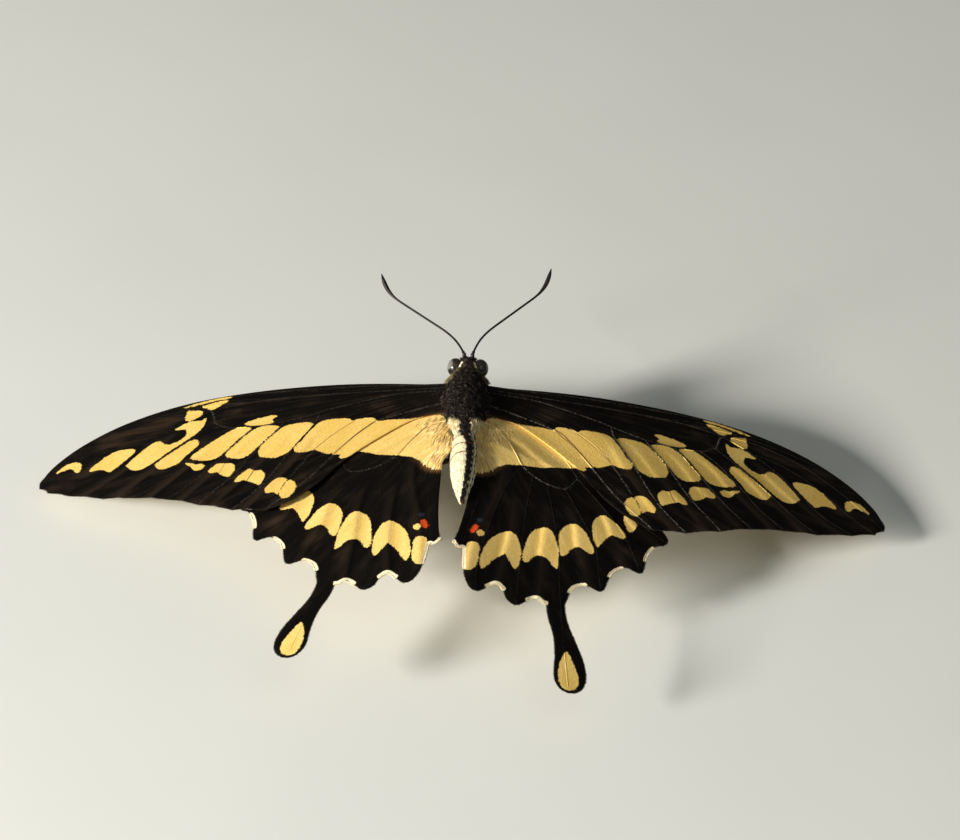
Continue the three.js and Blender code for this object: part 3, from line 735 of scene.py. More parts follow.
def rays(points, kind):
    """Angle and distance from a point inside the body, for marks that follow the veins."""
    gap = points - RAYS_FROM[kind]
    angle, distance = np.arctan2(gap[:, 1], gap[:, 0]), np.hypot(*gap.T)
    return np.column_stack([angle * RAYS_ROUND, distance * RAYS_OUT])


def fore_pattern(points):
    return {
        "yellow": shapes_depth(points, FORE_YELLOW),
        "ink": stroke_depth(points, FORE_INK),
        "glint_and_wear": vein_glint_and_wear(points, FORE_VEINS),
        "thin": shapes_depth(points, FORE_LIT_BROWN),
        **{name: np.full(len(points), NONE) for name in ("cream", "red", "blue")},
    }


def hind_pattern(points):
    return {
        "yellow": shapes_depth(points, HIND_YELLOW),
        "ink": stroke_depth(points, HIND_INK),
        "glint_and_wear": vein_glint_and_wear(points, HIND_VEINS),
        "thin": shapes_depth(points, HIND_BROWN),
        "cream": bays_depth(points, HIND_CREAM, HIND["outline"]),
        "red": shapes_depth(points, HIND_RED),
        "blue": shapes_depth(points, HIND_BLUE),
    }


FORE |= {"pattern": fore_pattern, "folds": FORE_FOLDS, "veins": FORE_VEINS}
HIND |= {"pattern": hind_pattern, "folds": HIND_FOLDS, "veins": HIND_VEINS}
for wing, strokes in ((FORE, FORE_INK), (HIND, HIND_INK)):
    wing["ink"] = [path for path, _ in strokes]
print("yellow shapes:", len(FORE_YELLOW) + len(HIND_YELLOW))

# %% [markdown]
# ## Geometry Nodes, built and run from the script
#
# A small runner makes a tree with named inputs, sets them by identifier on a
# modifier, and keeps the evaluated result as a plain mesh. The first tree sweeps
# a round profile along every vein path.

# %% Making and running a tree
SOCKETS = {float: "NodeSocketFloat", int: "NodeSocketInt"}


class GeometryTree(Nodes):
    """A Geometry Nodes tree whose inputs have names and starting values."""

    def __init__(self, name, **inputs):
        super().__init__(bpy.data.node_groups.new(name, "GeometryNodeTree"))
        face = self.tree.interface
        face.new_socket("Geometry", in_out="INPUT", socket_type="NodeSocketGeometry")
        face.new_socket("Geometry", in_out="OUTPUT", socket_type="NodeSocketGeometry")
        for label, value in inputs.items():
            kind = SOCKETS.get(type(value), value)
            socket = face.new_socket(label, in_out="INPUT", socket_type=kind)
            if kind is not value:
                socket.default_value = value
        self.entry = self.tree.nodes.new("NodeGroupInput")

    def given(self, label):
        return Wire(self, self.entry.outputs[label])

    def named(self, name, kind="FLOAT"):
        settings = {"data_type": kind}
        return self.add("GeometryNodeInputNamedAttribute", settings, {"Name": name})

    def close(self, geometry, finish):
        """Realizes the result and gives it its material."""
        real = self.add("GeometryNodeRealizeInstances", None, {"Geometry": geometry})
        values = {"Geometry": real, "Material": finish}
        done = self.add("GeometryNodeSetMaterial", None, values)
        self.add("NodeGroupOutput", None, {"Geometry": done})


def evaluated(holder):
    """The plain mesh of an object with its modifiers, and the object is gone."""
    bpy.context.collection.objects.link(holder)
    shaped = holder.evaluated_get(bpy.context.evaluated_depsgraph_get())
    mesh = bpy.data.meshes.new_from_object(shaped)
    bpy.data.objects.remove(holder)
    return mesh


def run_tree(tree, source, **values):
    """The plain mesh that a tree makes from a source mesh."""
    holder = bpy.data.objects.new("holder", source)
    modifier = holder.modifiers.new("tree", "NODES")
    modifier.node_group = tree.tree
    for item in tree.tree.interface.items_tree:
        if item.item_type == "SOCKET" and item.in_out == "INPUT" and item.name in values:
            modifier[item.identifier] = values[item.name]
    return evaluated(holder)


def read(data, label, width=1, kind=np.float32):
    """One property of every element of a mesh, as an array."""
    values = np.empty(len(data) * width, kind)
    data.foreach_get(label, values)
    return values.reshape(-1, width) if width > 1 else values


def positions(mesh):
    return read(mesh.vertices, "co", 3).astype(float)


def normals_of(mesh):
    return read(mesh.vertex_normals, "vector", 3).astype(float)


def corners_of(mesh):
    """The vertex at each face corner."""
    return read(mesh.loops, "vertex_index", kind=np.int32)


def column(mesh, name):
    """A number attribute of a mesh as an array."""
    return read(mesh.attributes[name].data, "value")


def faces_of(mesh):
    return [tuple(face.vertices) for face in mesh.polygons]


# %% Tubes along paths
tubes = GeometryTree("Tubes along paths", Sides=6, Finish="NodeSocketMaterial")
circle = {"Resolution": tubes.given("Sides"), "Radius": 1.0}
ring = tubes.add("GeometryNodeCurvePrimitiveCircle", None, circle)
lines = tubes.add("GeometryNodeMeshToCurve", None, {"Mesh": tubes.given("Geometry")})
sweep = {"Curve": lines, "Profile Curve": ring, "Scale": tubes.named("width"), "Fill Caps": True}
tubes.close(tubes.add("GeometryNodeCurveToMesh", None, sweep), tubes.given("Finish"))


def path_mesh(paths):
    """A mesh of edges from (points, widths) pairs, for the tube tree."""
    points, widths, edges = [], [], []
    for path, width in paths:
        edges += [(len(points) + k, len(points) + k + 1) for k in range(len(path) - 1)]
        points += [tuple(p) for p in path]
        widths += list(width)
    mesh = bpy.data.meshes.new("paths")
    mesh.from_pydata(points, edges, [])
    mesh.attributes.new("width", "FLOAT", "POINT").data.foreach_set("value", widths)
    return mesh


VEIN_STEP, VEIN_THINNEST, VEIN_SUNK = 0.35, 0.055, 0.3


def vein_paths(veins):
    """Each vein as an evenly stepped path with its half width, sunk into the wing."""
    paths = []
    for path, thick, thin, _ in veins.values():
        line = evenly(spline(path, 60), VEIN_STEP)
        t = np.linspace(0, 1, len(line))
        width = np.maximum(thick + (thin - thick) * t, VEIN_THINNEST)
        paths.append((np.column_stack([line, -VEIN_SUNK * width]), width))
    return paths


# %% [markdown]
# ## Wing finishes
#
# The upper side is near black with warm yellow bands. Scales give it a fine grain
# and a dry, soft shine. Pale glints are painted along the veins, partly for worn
# scales and partly for light catching the raised veins, and painted light and shade
# mark the sides of the creases. The underside of this family is the other way round:
# yellow, with black veins, a black band near the edge, and on the hindwing blue
# half-moons and a little orange.

# %% Upper side
def scale_grain(finish, plan):
    """One random number for each scale, and the height of the scales' rows."""
    fine = finish.cells(finish.scaled(plan, (5.2, 3.4, 1)), 1.0)
    return fine.beside("Color") * 1.0, fine


def pattern_mask(finish, name, fray, softness=0.05):
    """Where a pattern attribute is positive, frayed by a random offset."""
    return (finish.attribute(name) + fray).rise(-softness, softness)


def wing_upper_finish():
    finish = Finish("wing_upper", Roughness=0.72, Specular_IOR_Level=0.07)
    plan = finish.uv("wing")
    scale, row = scale_grain(finish, plan)
    broad = finish.noise(plan, 0.16, 3.0)
    streaks = finish.noise(finish.uv("rays"), 1.0, 3.0, Roughness=0.55)
    moons, fold, glint_and_wear = [finish.attribute(name) for name in ("moons", "fold", "glint_and_wear")]
    calm = 1 - moons * 0.6
    speck = finish.noise(plan, 2.6, 3.0, Roughness=0.7)
    strands = finish.noise(finish.scaled(finish.uv("rays"), (2.6, 0.9, 1)), 1.0, 2.0)
    root = finish.attribute("root")
    fray = (scale - 0.5) * 0.24 + (speck - 0.5) * 0.22 + 0.03 + (strands - 0.5) * root * 1.5

    # painted light: brown where light falls on the black scales, from the "thin" mask
    thin = pattern_mask(finish, "thin", (broad - 0.5) * 2.0, 1.4) * streaks.rise(0.34, 0.58)
    near_gold = pattern_mask(finish, "yellow", fray + 0.5, 0.75) * root
    black = finish.layered(
        rgb(0.0024, 0.0018, 0.0014),
        ((0.0100, 0.0066, 0.0045), streaks.rise(0.44, 0.68) * calm),
        ((0.024, 0.0155, 0.0100), broad.rise(0.50, 0.72) * streaks.rise(0.35, 0.6) * calm),
        ((0.034, 0.026, 0.019), scale.rise(0.78, 0.94) * streaks.rise(0.48, 0.62) * calm * 0.5),
        # painted light: brown on one side of each crease, as the crease's lit face
        ((0.026, 0.017, 0.011), fold.rise(0.1, 0.7) * calm * 0.7),
        # painted light: the lit brown of the black scales
        ((0.036, 0.022, 0.013), thin * 0.75),
        ((0.15, 0.075, 0.028), near_gold),
        # painted highlight: pale glints along the veins, partly worn scales
        ((0.34, 0.31, 0.27), glint_and_wear * speck.rise(0.44, 0.58) * 0.6),
    )
    ink = pattern_mask(finish, "ink", (speck - 0.5) * 0.06, 0.05)
    gold = finish.layered(
        rgb(0.88, 0.600, 0.170),
        ((0.83, 0.550, 0.135), broad.rise(0.35, 0.65)),
        ((0.95, 0.700, 0.270), moons * 0.35),
        ((0.58, 0.370, 0.060), scale.rise(0.45, 0.12) * 0.26),
        ((0.97, 0.760, 0.330), scale.rise(0.62, 0.90) * 0.34),
        ((0.66, 0.420, 0.080), speck.rise(0.50, 0.34) * 0.24),
        ((0.72, 0.460, 0.090), streaks.rise(0.54, 0.72) * 0.35),
        # painted shade: darker gold on the inner side of each hindwing crease
        ((0.62, 0.400, 0.090), fold.rise(-0.15, -0.8) * moons * 0.55),
        # painted highlight: pale glints along the veins, partly worn scales
        ((0.97, 0.800, 0.450), glint_and_wear * 0.45),
        ((0.62, 0.370, 0.120), strands.rise(0.50, 0.34) * root * 0.7),
        ((0.98, 0.860, 0.560), strands.rise(0.52, 0.64) * root * 0.8),
        ((0.16, 0.075, 0.016), ink * 0.85),
    )
    colour = finish.layered(
        finish.mix(black, gold, pattern_mask(finish, "yellow", fray, 0.07)),
        ((0.86, 0.76, 0.52), pattern_mask(finish, "cream", fray * 0.4)),
        ((0.66, 0.070, 0.014), pattern_mask(finish, "red", fray * 1.2, 0.15)),
        ((0.05, 0.10, 0.16), pattern_mask(finish, "blue", fray * 1.5, 0.25) * 0.22),
    )
    height = row * 0.6 + streaks * 0.6
    finish.set(Base_Color=colour, Normal=finish.bump(height, 0.045))
    return finish.material


# %% Underside
def wing_under_finish():
    finish = Finish("wing_under", Roughness=0.65, Specular_IOR_Level=0.22)
    plan = finish.uv("wing")
    scale, row = scale_grain(finish, plan)
    broad = finish.noise(plan, 0.2, 3.0)
    fray = (scale - 0.5) * 0.3 + (broad - 0.5) * 0.5
    margin = finish.attribute("margin")
    vein = finish.attribute("vein")
    veins = (vein + fray * 0.35).rise(0.30, 0.16)
    band_middle = finish.attribute("band")
    band = (margin - band_middle + fray).math("ABSOLUTE").rise(1.75, 1.55)
    edge = (margin + fray * 0.4).rise(0.62, 0.42)
    dark = veins.math("MAXIMUM", band).math("MAXIMUM", edge)
    moon = (margin - band_middle + 0.25).math("ABSOLUTE").rise(0.75, 0.45) * vein.rise(0.7, 1.15)
    orange = pattern_mask(finish, "orange", fray, 0.2)
    colour = finish.layered(
        rgb(0.84, 0.64, 0.30),
        ((0.90, 0.76, 0.46), broad.rise(0.4, 0.6)),
        ((0.022, 0.016, 0.012), dark),
        ((0.12, 0.22, 0.42), moon * finish.attribute("moons")),
        ((0.70, 0.22, 0.03), orange),
    )
    finish.set(Base_Color=colour, Normal=finish.bump(row, 0.03))
    return finish.material


wing_upper = wing_upper_finish()
wing_under = wing_under_finish()

# %% [markdown]
# ## The wings
#
# A wing is one closed sheet about a seventh of a millimetre thick. A grid clipped
# to the outline would leave steps at the edge, so the plan is filled with
# triangles that keep the outline, then doubled, joined round the rim, lifted by
# the creases, and given its vein tubes on both sides.

# %% Plan points and triangles
SHEET = 0.14
GRID = 0.30
ROW = GRID * 0.87  # between rows of even-sided triangles
BAND_FROM_EDGE = {"fore": 5.6, "hind": 10.5}
ORANGE_AT, ORANGE_REACH = (9.0, -13.5), 1.3


def plan_triangles(outline, lines):
    """Points and triangles that fill an outline and follow the lines drawn in it."""
    low, high = outline.min(0), outline.max(0)
    grid = np.array([
        (x, y)
        for k, y in enumerate(np.arange(low[1], high[1], ROW))
        for x in np.arange(low[0] + (k % 2) * GRID / 2, high[0], GRID)
    ])
    paths = [spline(path, 60) for path in lines]
    grid = grid[np.min([nearest(grid, path)[0] for path in paths], 0) > GRID * 0.4]
    grid = np.vstack([grid, *(evenly(path, GRID * 0.6) for path in paths)])
    grid = grid[depth_in(grid, outline) > GRID * 0.55]
    points = [Vector(p) for p in np.vstack([outline, grid])]
    ring = list(range(len(outline)))
    filled = delaunay_2d_cdt(points, [], [ring], 1, 1e-6)
    return np.array([tuple(p) for p in filled[0]]), np.array([tuple(f) for f in filled[2]])


def rim_edges(triangles):
    """The directed edges that belong to one triangle only."""
    edges = {(a, b) for t in triangles.tolist() for a, b in zip(t, t[1:] + t[:1])}
    return [(a, b) for a, b in edges if (b, a) not in edges]


def wing_solid(wing):
    """A wing in its plan: points with heights, faces, which faces look down."""
    drawn = [path for path, *_ in wing["veins"].values()] + wing["ink"]
    plan, triangles = plan_triangles(wing["outline"], drawn)
    count = len(plan)
    rim = rim_edges(triangles)
    to_rim = depth_in(plan, wing["outline"])
    thickness = SHEET * (0.45 + 0.55 * smooth(to_rim, 0, 0.8))
    middle = folds_height(plan, wing["folds"]) - SHEET / 2
    tube = run_tree(tubes, path_mesh(vein_paths(wing["veins"])))
    vein = positions(tube)
    sunk = vein[:, 2].copy()
    vein[:, 2] += folds_height(vein[:, :2], wing["folds"])
    points = np.vstack([
        np.column_stack([plan, middle + thickness / 2]),
        np.column_stack([plan, middle - thickness / 2]),
        vein,
    ])
    tube_faces = [tuple(k + 2 * count for k in face) for face in faces_of(tube)]
    faces = [tuple(t) for t in triangles.tolist()]
    faces += [tuple(k + count for k in t[::-1]) for t in triangles.tolist()]
    faces += [(b, a, a + count, b + count) for a, b in rim]
    faces += tube_faces
    looks_down = np.zeros(len(faces), int)
    looks_down[len(triangles):2 * len(triangles)] = 1
    for k, face in enumerate(tube_faces, len(faces) - len(tube_faces)):
        looks_down[k] = np.mean([sunk[v - 2 * count] for v in face]) < -SHEET / 2
    return points, faces, looks_down


def wing_fields(points, wing, kind):
    """The pattern at every point, and its distances to the veins and the edge."""
    fields = wing["pattern"](points)
    veins = [nearest(points, spline(path, 30))[0] for path, *_ in wing["veins"].values()]
    fields["vein"] = np.min(veins, 0)
    edge = wing["vein_ends"] if kind == "fore" else wing["outer"] + wing["anal"]
    fields["margin"] = nearest(points, np.array(edge, float))[0]
    fields["band"] = np.full(len(points), BAND_FROM_EDGE[kind])
    fields["moons"] = np.full(len(points), float(kind == "hind"))
    # the crease's side, also used to paint light and shade beside each crease
    fields["fold"] = folds_height(points, wing["folds"]) / max(step for _, step in wing["folds"])
    fields["root"] = smooth(points[:, 0], 5.5, 0.5) * smooth(points[:, 1], -16, -13)
    orange = ORANGE_REACH - np.hypot(*((points - ORANGE_AT) * (1, 1.3)).T)
    fields["orange"] = orange if kind == "hind" else np.full(len(points), NONE)
    return fields


# %% Meshes with attributes and maps
def make_mesh(name, points, faces, finishes, fields=None):
    """A smooth mesh with one number per vertex for each field."""
    mesh = bpy.data.meshes.new(name)
    mesh.from_pydata([tuple(p) for p in points], [], faces)
    for finish in finishes:
        mesh.materials.append(finish)
    for key, values in (fields or {}).items():
        mesh.attributes.new(key, "FLOAT", "POINT").data.foreach_set("value", values.astype(np.float32))
    mesh.shade_smooth()
    return mesh


def add_map(mesh, name, per_vertex=None, per_corner=None):
    """A UV map from one place for each vertex or for each face corner."""
    if per_corner is None:
        per_corner = per_vertex[corners_of(mesh)]
    layer = mesh.uv_layers.new(name=name, do_init=False)
    layer.uv.foreach_set("vector", np.ascontiguousarray(per_corner, np.float32).ravel())


def add_piece(name, mesh, replaces=()):
    """An object of the butterfly that stands for the named CAD parts."""
    piece = bpy.data.objects.new(name, mesh)
    bpy.context.collection.objects.link(piece)
    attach(piece, "root")
    if replaces:
        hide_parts(*replaces)
    print(name, "has", len(mesh.polygons), "faces")
    return piece


# %% The four wings
BAKE_SPAN = {"fore": 72.0, "hind": 68.0}
BAKE_FROM = {"fore": (-1.0, -27.0), "hind": (-2.5, -54.0)}
BAKE_UNDER = {"fore": (0.0, 36.0), "hind": (34.0, 0.0)}
# painted glints on the veins are stronger on the right wing, where the light grazes them
GLINT_BY_SIDE = {"left": 0.4, "right": 1.0}
# painted light: the brown shows on the lit left wing and hardly on the right; mm taken off the mask
LIT_BROWN_LESS = {"left": 0.0, "right": 1.1}


def add_wing(kind, word, wing, solid, fields):
    points, faces, looks_down = solid
    name = f"{kind}wing_{word}"
    if word == "left":
        faces = [face[::-1] for face in faces]
    # the painted vein glints and the painted lit brown are set for each side
    shown = {**fields, "glint_and_wear": fields["glint_and_wear"] * GLINT_BY_SIDE[word], "thin": fields["thin"] - LIT_BROWN_LESS[word]}
    finishes = (wing_upper, wing_under)
    mesh = make_mesh(f"{name}_sheet", settled(points, wing, word), faces, finishes, shown)
    mesh.polygons.foreach_set("material_index", looks_down.astype(np.int32))
    add_map(mesh, "wing", points[:, :2])
    add_map(mesh, "rays", rays(points[:, :2], kind))
    corner_side = np.repeat(looks_down, [len(face) for face in faces])
    flat = points[corners_of(mesh), :2] - BAKE_FROM[kind] + corner_side[:, None] * BAKE_UNDER[kind]
    add_map(mesh, "OFBake", per_corner=flat / BAKE_SPAN[kind])
    return add_piece(f"{name}_sheet", mesh, [name])


for kind, wing in (("fore", FORE), ("hind", HIND)):
    wing["solid"] = wing_solid(wing)
    fields = wing_fields(wing["solid"][0][:, :2], wing, kind)
    for word in ("left", "right"):
        add_wing(kind, word, wing, wing["solid"], fields)

# %% [markdown]
# ## The body's skin
#
# Head, chest, abdomen and palps are one soft skin on the real insect, so they are
# one mesh here. Cross-sections are lofted into a closed shell, the palps are swept
# beside it, and a voxel remesh welds everything into even quads, on which a coat
# can be planted. The skin lies inside the CAD body by about its coat's depth.

# %% Sections from the head to the tail
# along, height of the middle, half width, height above it and below it, in mm
HEAD = [(13.25, -1.5, 0.65, 0.9, 1.1), (12.6, -1.35, 1.45, 1.55, 1.75),
        (11.6, -1.3, 1.95, 1.75, 1.9), (10.5, -1.4, 2.2, 1.75, 1.8), (9.7, -1.5, 2.35, 1.7, 1.6)]
THORAX = [(9.2, -1.6, 2.6, 1.9, 1.8), (8.2, -1.7, 3.1, 2.6, 2.7), (6.2, -1.9, 3.5, 3.2, 3.6),
          (3.2, -2.2, 3.85, 3.85, 4.1), (-0.5, -2.3, 3.9, 4.1, 4.2), (-3.6, -2.1, 3.3, 3.75, 3.6),
          (-5.4, -1.6, 2.5, 2.9, 2.6)]
ABDOMEN_FRONT, ABDOMEN_BACK, SEGMENTS = -6.4, -22.6, 8
ABDOMEN_HALF = 2.2
ABDOMEN_COAT_TIP = 0.5
COAT_DEPTH = {"head": 0.16, "thorax": 0.50, "abdomen": 0.20}


def abdomen_row(t):
    half = ABDOMEN_HALF * math.sqrt(1 - (0.985 * t) ** 3.2) * (0.8 + 0.2 * smooth(t, 0, 0.22))
    half *= 1 - 0.28 * smooth(t, 0.55, 1)
    y = ABDOMEN_FRONT + (ABDOMEN_BACK + ABDOMEN_COAT_TIP - ABDOMEN_FRONT) * t
    return (y, -1.15 - 0.7 * t**1.5, half, half * 1.08, half * 1.08)


def inset(rows, depth):
    return [(y, z, w - depth, up - depth, down - depth) for y, z, w, up, down in rows]


body_rows = spline(
    inset(HEAD, COAT_DEPTH["head"]) + inset(THORAX, COAT_DEPTH["thorax"])
    + inset([abdomen_row(t) for t in np.linspace(0, 1, 30)], COAT_DEPTH["abdomen"]),
    400,
)


def loft(rows, sides=64):
    """A closed shell through sections whose top and belly differ."""
    turn = np.linspace(0, 2 * math.pi, sides, endpoint=False)
    across, up = np.cos(turn), np.sin(turn)
    points = np.vstack([
        np.column_stack([w * across, np.full(sides, y), z + np.where(up > 0, top, belly) * up])
        for y, z, w, top, belly in rows
    ])
    faces = [
        (r + k, r + (k + 1) % sides, r + sides + (k + 1) % sides, r + sides + k)
        for r in range(0, (len(rows) - 1) * sides, sides) for k in range(sides)
    ]
    faces.append(tuple(range(sides))[::-1])
    faces.append(tuple(range((len(rows) - 1) * sides, len(rows) * sides)))
    return points, faces


def bezier(a, b, c, steps):
    t = np.linspace(0, 1, steps)[:, None]
    return (1 - t) ** 2 * np.array(a) + 2 * t * (1 - t) * np.array(b) + t**2 * np.array(c)


def palp_path(side):
    """A feeler that curves up in front of the mouth."""
    line = bezier((0.8 * side, 11.8, -3.0), (0.95 * side, 14.5, -3.6), (0.95 * side, 14.2, -1.25), 26)
    t = np.linspace(0, 1, len(line))
    return line, 0.34 * np.sqrt(1 - (2 * t - 0.9) ** 4 * 0.66)



def welded(points, faces, voxel, rounds):
    """Overlapping closed shells as one even, relaxed mesh."""
    shells = bpy.data.meshes.new("shells")
    shells.from_pydata([tuple(p) for p in points], [], faces)
    holder = bpy.data.objects.new("holder", shells)
    remesh = holder.modifiers.new("weld", "REMESH")
    remesh.mode = "VOXEL"
    remesh.voxel_size = voxel
    relax = holder.modifiers.new("relax", "SMOOTH")
    relax.factor = 0.5
    relax.iterations = rounds
    return evaluated(holder)


def dome(centre, size, rings=40, sides=64):
    """A closed ball of quads with its poles on the x axis."""
    points, faces = [], []
    for r in range(1, rings):
        tilt = math.pi * r / rings
        for k in range(sides):
            turn = 2 * math.pi * k / sides
            points.append((math.cos(tilt), math.sin(tilt) * math.cos(turn), math.sin(tilt) * math.sin(turn)))
    for r in range(rings - 2):
        for k in range(sides):
            a, b = r * sides + k, r * sides + (k + 1) % sides
            faces.append((b, a, a + sides, b + sides))
    poles = len(points)
    points += [(1, 0, 0), (-1, 0, 0)]
    last = (rings - 2) * sides
    faces += [(poles, k, (k + 1) % sides) for k in range(sides)]
    faces += [(poles + 1, last + (k + 1) % sides, last + k) for k in range(sides)]
    return np.array(points) * size + centre, faces


def joined(shells):
    """Several (points, faces) shells as one."""
    points, faces = [], []
    for more, ring in shells:
        faces += [tuple(k + len(points) for k in face) for face in ring]
        points += [tuple(p) for p in more]
    return points, faces


palp_tubes = run_tree(tubes, path_mesh([palp_path(side) for side in (-1, 1)]), Sides=16)
# a lobe on each side swells the chest below the forewing's hinge
LOBE_CENTRE, LOBE_SIZE = (2.7, 2.6, -1.35), (1.2, 2.9, 0.80)
SKIN_QUAD = 0.13
shells = [loft(body_rows), (positions(palp_tubes), faces_of(palp_tubes))]
shells += [dome(np.array(LOBE_CENTRE) * (side, 1, 1), LOBE_SIZE, 24, 32) for side in (-1, 1)]
skin = welded(*joined(shells), SKIN_QUAD, 6)
print("skin quads:", len(skin.polygons))

# %% [markdown]
# ## Where the body is which colour
#
# The abdomen is cream with a black stripe along its back, toothed on both sides,
# pale flecks in its right half, and thin rusty rings at the front joints. The
# chest and head are black with an olive line behind each eye. Skin and coat must
# agree, so every mark is a number on the skin's vertices, and each tuft inherits
# the numbers of the place where it grows.

# %% Marks on the skin
BACK_ROLL = math.radians(28)
TOOTH = 1.32
SEGMENT = (ABDOMEN_FRONT - ABDOMEN_BACK) / SEGMENTS
RINGS = (-8.4, -10.4, -12.5)
OLIVE_LINES = [(1.30, 11.2), (1.45, 10.3), (1.7, 9.4), (2.0, 8.5), (2.3, 7.7)]
BROW_LINES = [(0.95, 11.2), (1.15, 10.4)]


def row_values(y, which):
    """The body's middle height (1) or half width (2) at places along it."""
    return np.interp(-y, -body_rows[:, 0], body_rows[:, which])


def mirrored_depth(p, line, half):
    """Depth inside a line that runs on both sides of the upper body."""
    flat = np.column_stack([np.abs(p[:, 0]), p[:, 1]])
    depth = half - nearest(flat, spline(line, 16))[0]
    return np.where(p[:, 2] > row_values(p[:, 1], 1) - 0.2, depth, NONE)


def body_marks(p):
    """Numbers that tell the skin and the coat their colour."""
    x, y, z = p.T
    angle = np.arctan2(x, z - row_values(y, 1))
    half = row_values(y, 2)
    along = np.clip((ABDOMEN_FRONT - y) / (ABDOMEN_FRONT - ABDOMEN_BACK), 0, 1)
    beside = (angle - BACK_ROLL * smooth(along, 0, 0.3)) * half
    saw = (-y / TOOTH) % 1
    tooth = np.where(beside < 0, 1 - saw, np.abs(saw - 0.5) * 2)
    slim = 1 - 0.5 * along
    stripe = (0.68 + 0.26 * tooth) * slim - np.abs(beside)
    fleck = 0.24 * (y < -7.6) - np.hypot(beside - 0.50 * slim, (tooth - 0.9) * 0.45)
    # a dark line on the right flank, partly the insect's own line and partly painted shade on the shaded
    # right side
    right_line_and_shade = (0.04 + 0.22 * tooth) * slim - np.abs(beside - 1.55 * slim)
    ring = 0.13 - np.min([np.abs(y - place + 0.12 * np.abs(beside)) for place in RINGS], 0)
    joint = np.abs(y - ABDOMEN_FRONT + SEGMENT * np.round(along * SEGMENTS))
    wide = np.clip(np.abs(beside) - 0.7, 0, 1.5)
    pale_belly = smooth(np.abs(angle), 1.95, 2.3) * smooth(-y, -8.5, -7.0)
    return {
        "pale": np.maximum(smooth(-y + 1.2 * wide, 4.0, 5.2), pale_belly),
        "behind": smooth(-y, 5.6, 7.6),
        "stripe": np.maximum(stripe, np.where(y < -6.2, right_line_and_shade, NONE)) - 2 * np.maximum(fleck, 0),
        "fleck": fleck,
        "ring": ring,
        "joint": smooth(joint, 0.16, 0.0),
        # rust tip; its right side is darker by painted shade
        "tip": smooth(along, 0.9, 0.99) * (1.0 + 0.5 * np.sign(x)),
        "olive": mirrored_depth(p, OLIVE_LINES, 0.60),
        "brow": mirrored_depth(p, BROW_LINES, 0.27),
        "angle": angle,
    }


def unit(vectors):
    return vectors / np.maximum(np.linalg.norm(vectors, axis=1), 1e-9)[:, None]


# %% How the coat grows
EYE_CENTRE, EYE_SIZE = (1.88, 11.5, -1.2), (1.28, 1.46, 1.46)


def eye_depth(p):
    """How far outside an eye a point is, 1 on its surface."""
    flat = np.column_stack([np.abs(p[:, 0]), p[:, 1], p[:, 2]])
    return np.linalg.norm((flat - EYE_CENTRE) / EYE_SIZE, axis=1)


def coat_growth(p, normal):
    """Direction, length and thickness of the coat at each point."""
    x, y, z = p.T
    aside = np.abs(x)
    # regions of the body, from 0 to 1; those on the chest and neck overlap
    head = smooth(y, 9.3, 10.3)
    behind = smooth(-y, 5.4, 6.8)
    chest = (1 - head) * (1 - behind)
    shoulder = chest * smooth(aside, 1.9, 3.1) * smooth(z, -2.2, -0.6)
    waist = chest * smooth(-y, 1.0, 4.0)
    ruff = shoulder * smooth(y, 4.4, 6.2)
    mane = chest * smooth(-y, 2.0, 3.8) * smooth(aside, 0.8, 1.7)
    collar = smooth(y, 6.8, 8.4) * smooth(-y, -11.4, -10.2)
    collar = collar * smooth(aside, 0.9, 1.7) * smooth(z, -3.0, -1.6)
    outward = 0.7 * shoulder * (1 - waist) + 0.25 * head - 0.4 * waist + 0.9 * mane + 0.7 * collar
    forward = -1 + 0.9 * head * (1 - collar)
    lie = np.column_stack([np.sign(x) * outward, forward, 0.35 * head - 0.15 * chest])
    lie = unit(lie - normal * (lie * normal).sum(1)[:, None])
    tilt = np.radians(42 * head + (24 - 12 * waist) * chest + 16 * ruff + 5 * behind)[:, None]
    grow = unit(lie * np.cos(tilt) + normal * np.sin(tilt))
    length = 0.50 * head + (1.10 - 0.25 * shoulder + 0.9 * ruff + 0.8 * mane) * chest
    length += (0.36 + 0.7 * smooth(y, -9.0, -6.0)) * behind + 0.55 * collar
    near_eye = eye_depth(p)
    length *= 0.45 + 0.55 * smooth(near_eye, 1.1, 1.7)
    return grow, length, smooth(near_eye, 1.03, 1.15)


flesh = positions(skin)
marks = body_marks(flesh)
phase = np.clip((ABDOMEN_FRONT - flesh[:, 1]) / SEGMENT, 0, SEGMENTS) % 1
joint_gap = np.minimum(phase, 1 - phase) * SEGMENT
sink = marks["behind"] * (0.07 * np.exp(-((joint_gap / 0.16) ** 2)) - 0.05 * np.sin(math.pi * phase))
flesh = flesh - normals_of(skin) * sink[:, None]
grow, length, thick = coat_growth(flesh, normals_of(skin))
fields = {**marks, "length": length, "thick": thick}
# the unwrap of the skin: along the body, and once round it
UNWRAP_FRONT, UNWRAP_LENGTH, UNWRAP_ROUND = 14.6, 37.6, 0.95
fields["root_u"] = (UNWRAP_FRONT - flesh[:, 1]) / UNWRAP_LENGTH
fields["root_v"] = 0.01 + UNWRAP_ROUND * (marks["angle"] / (2 * math.pi) + 0.5)
flesh_at = yawed(flesh)

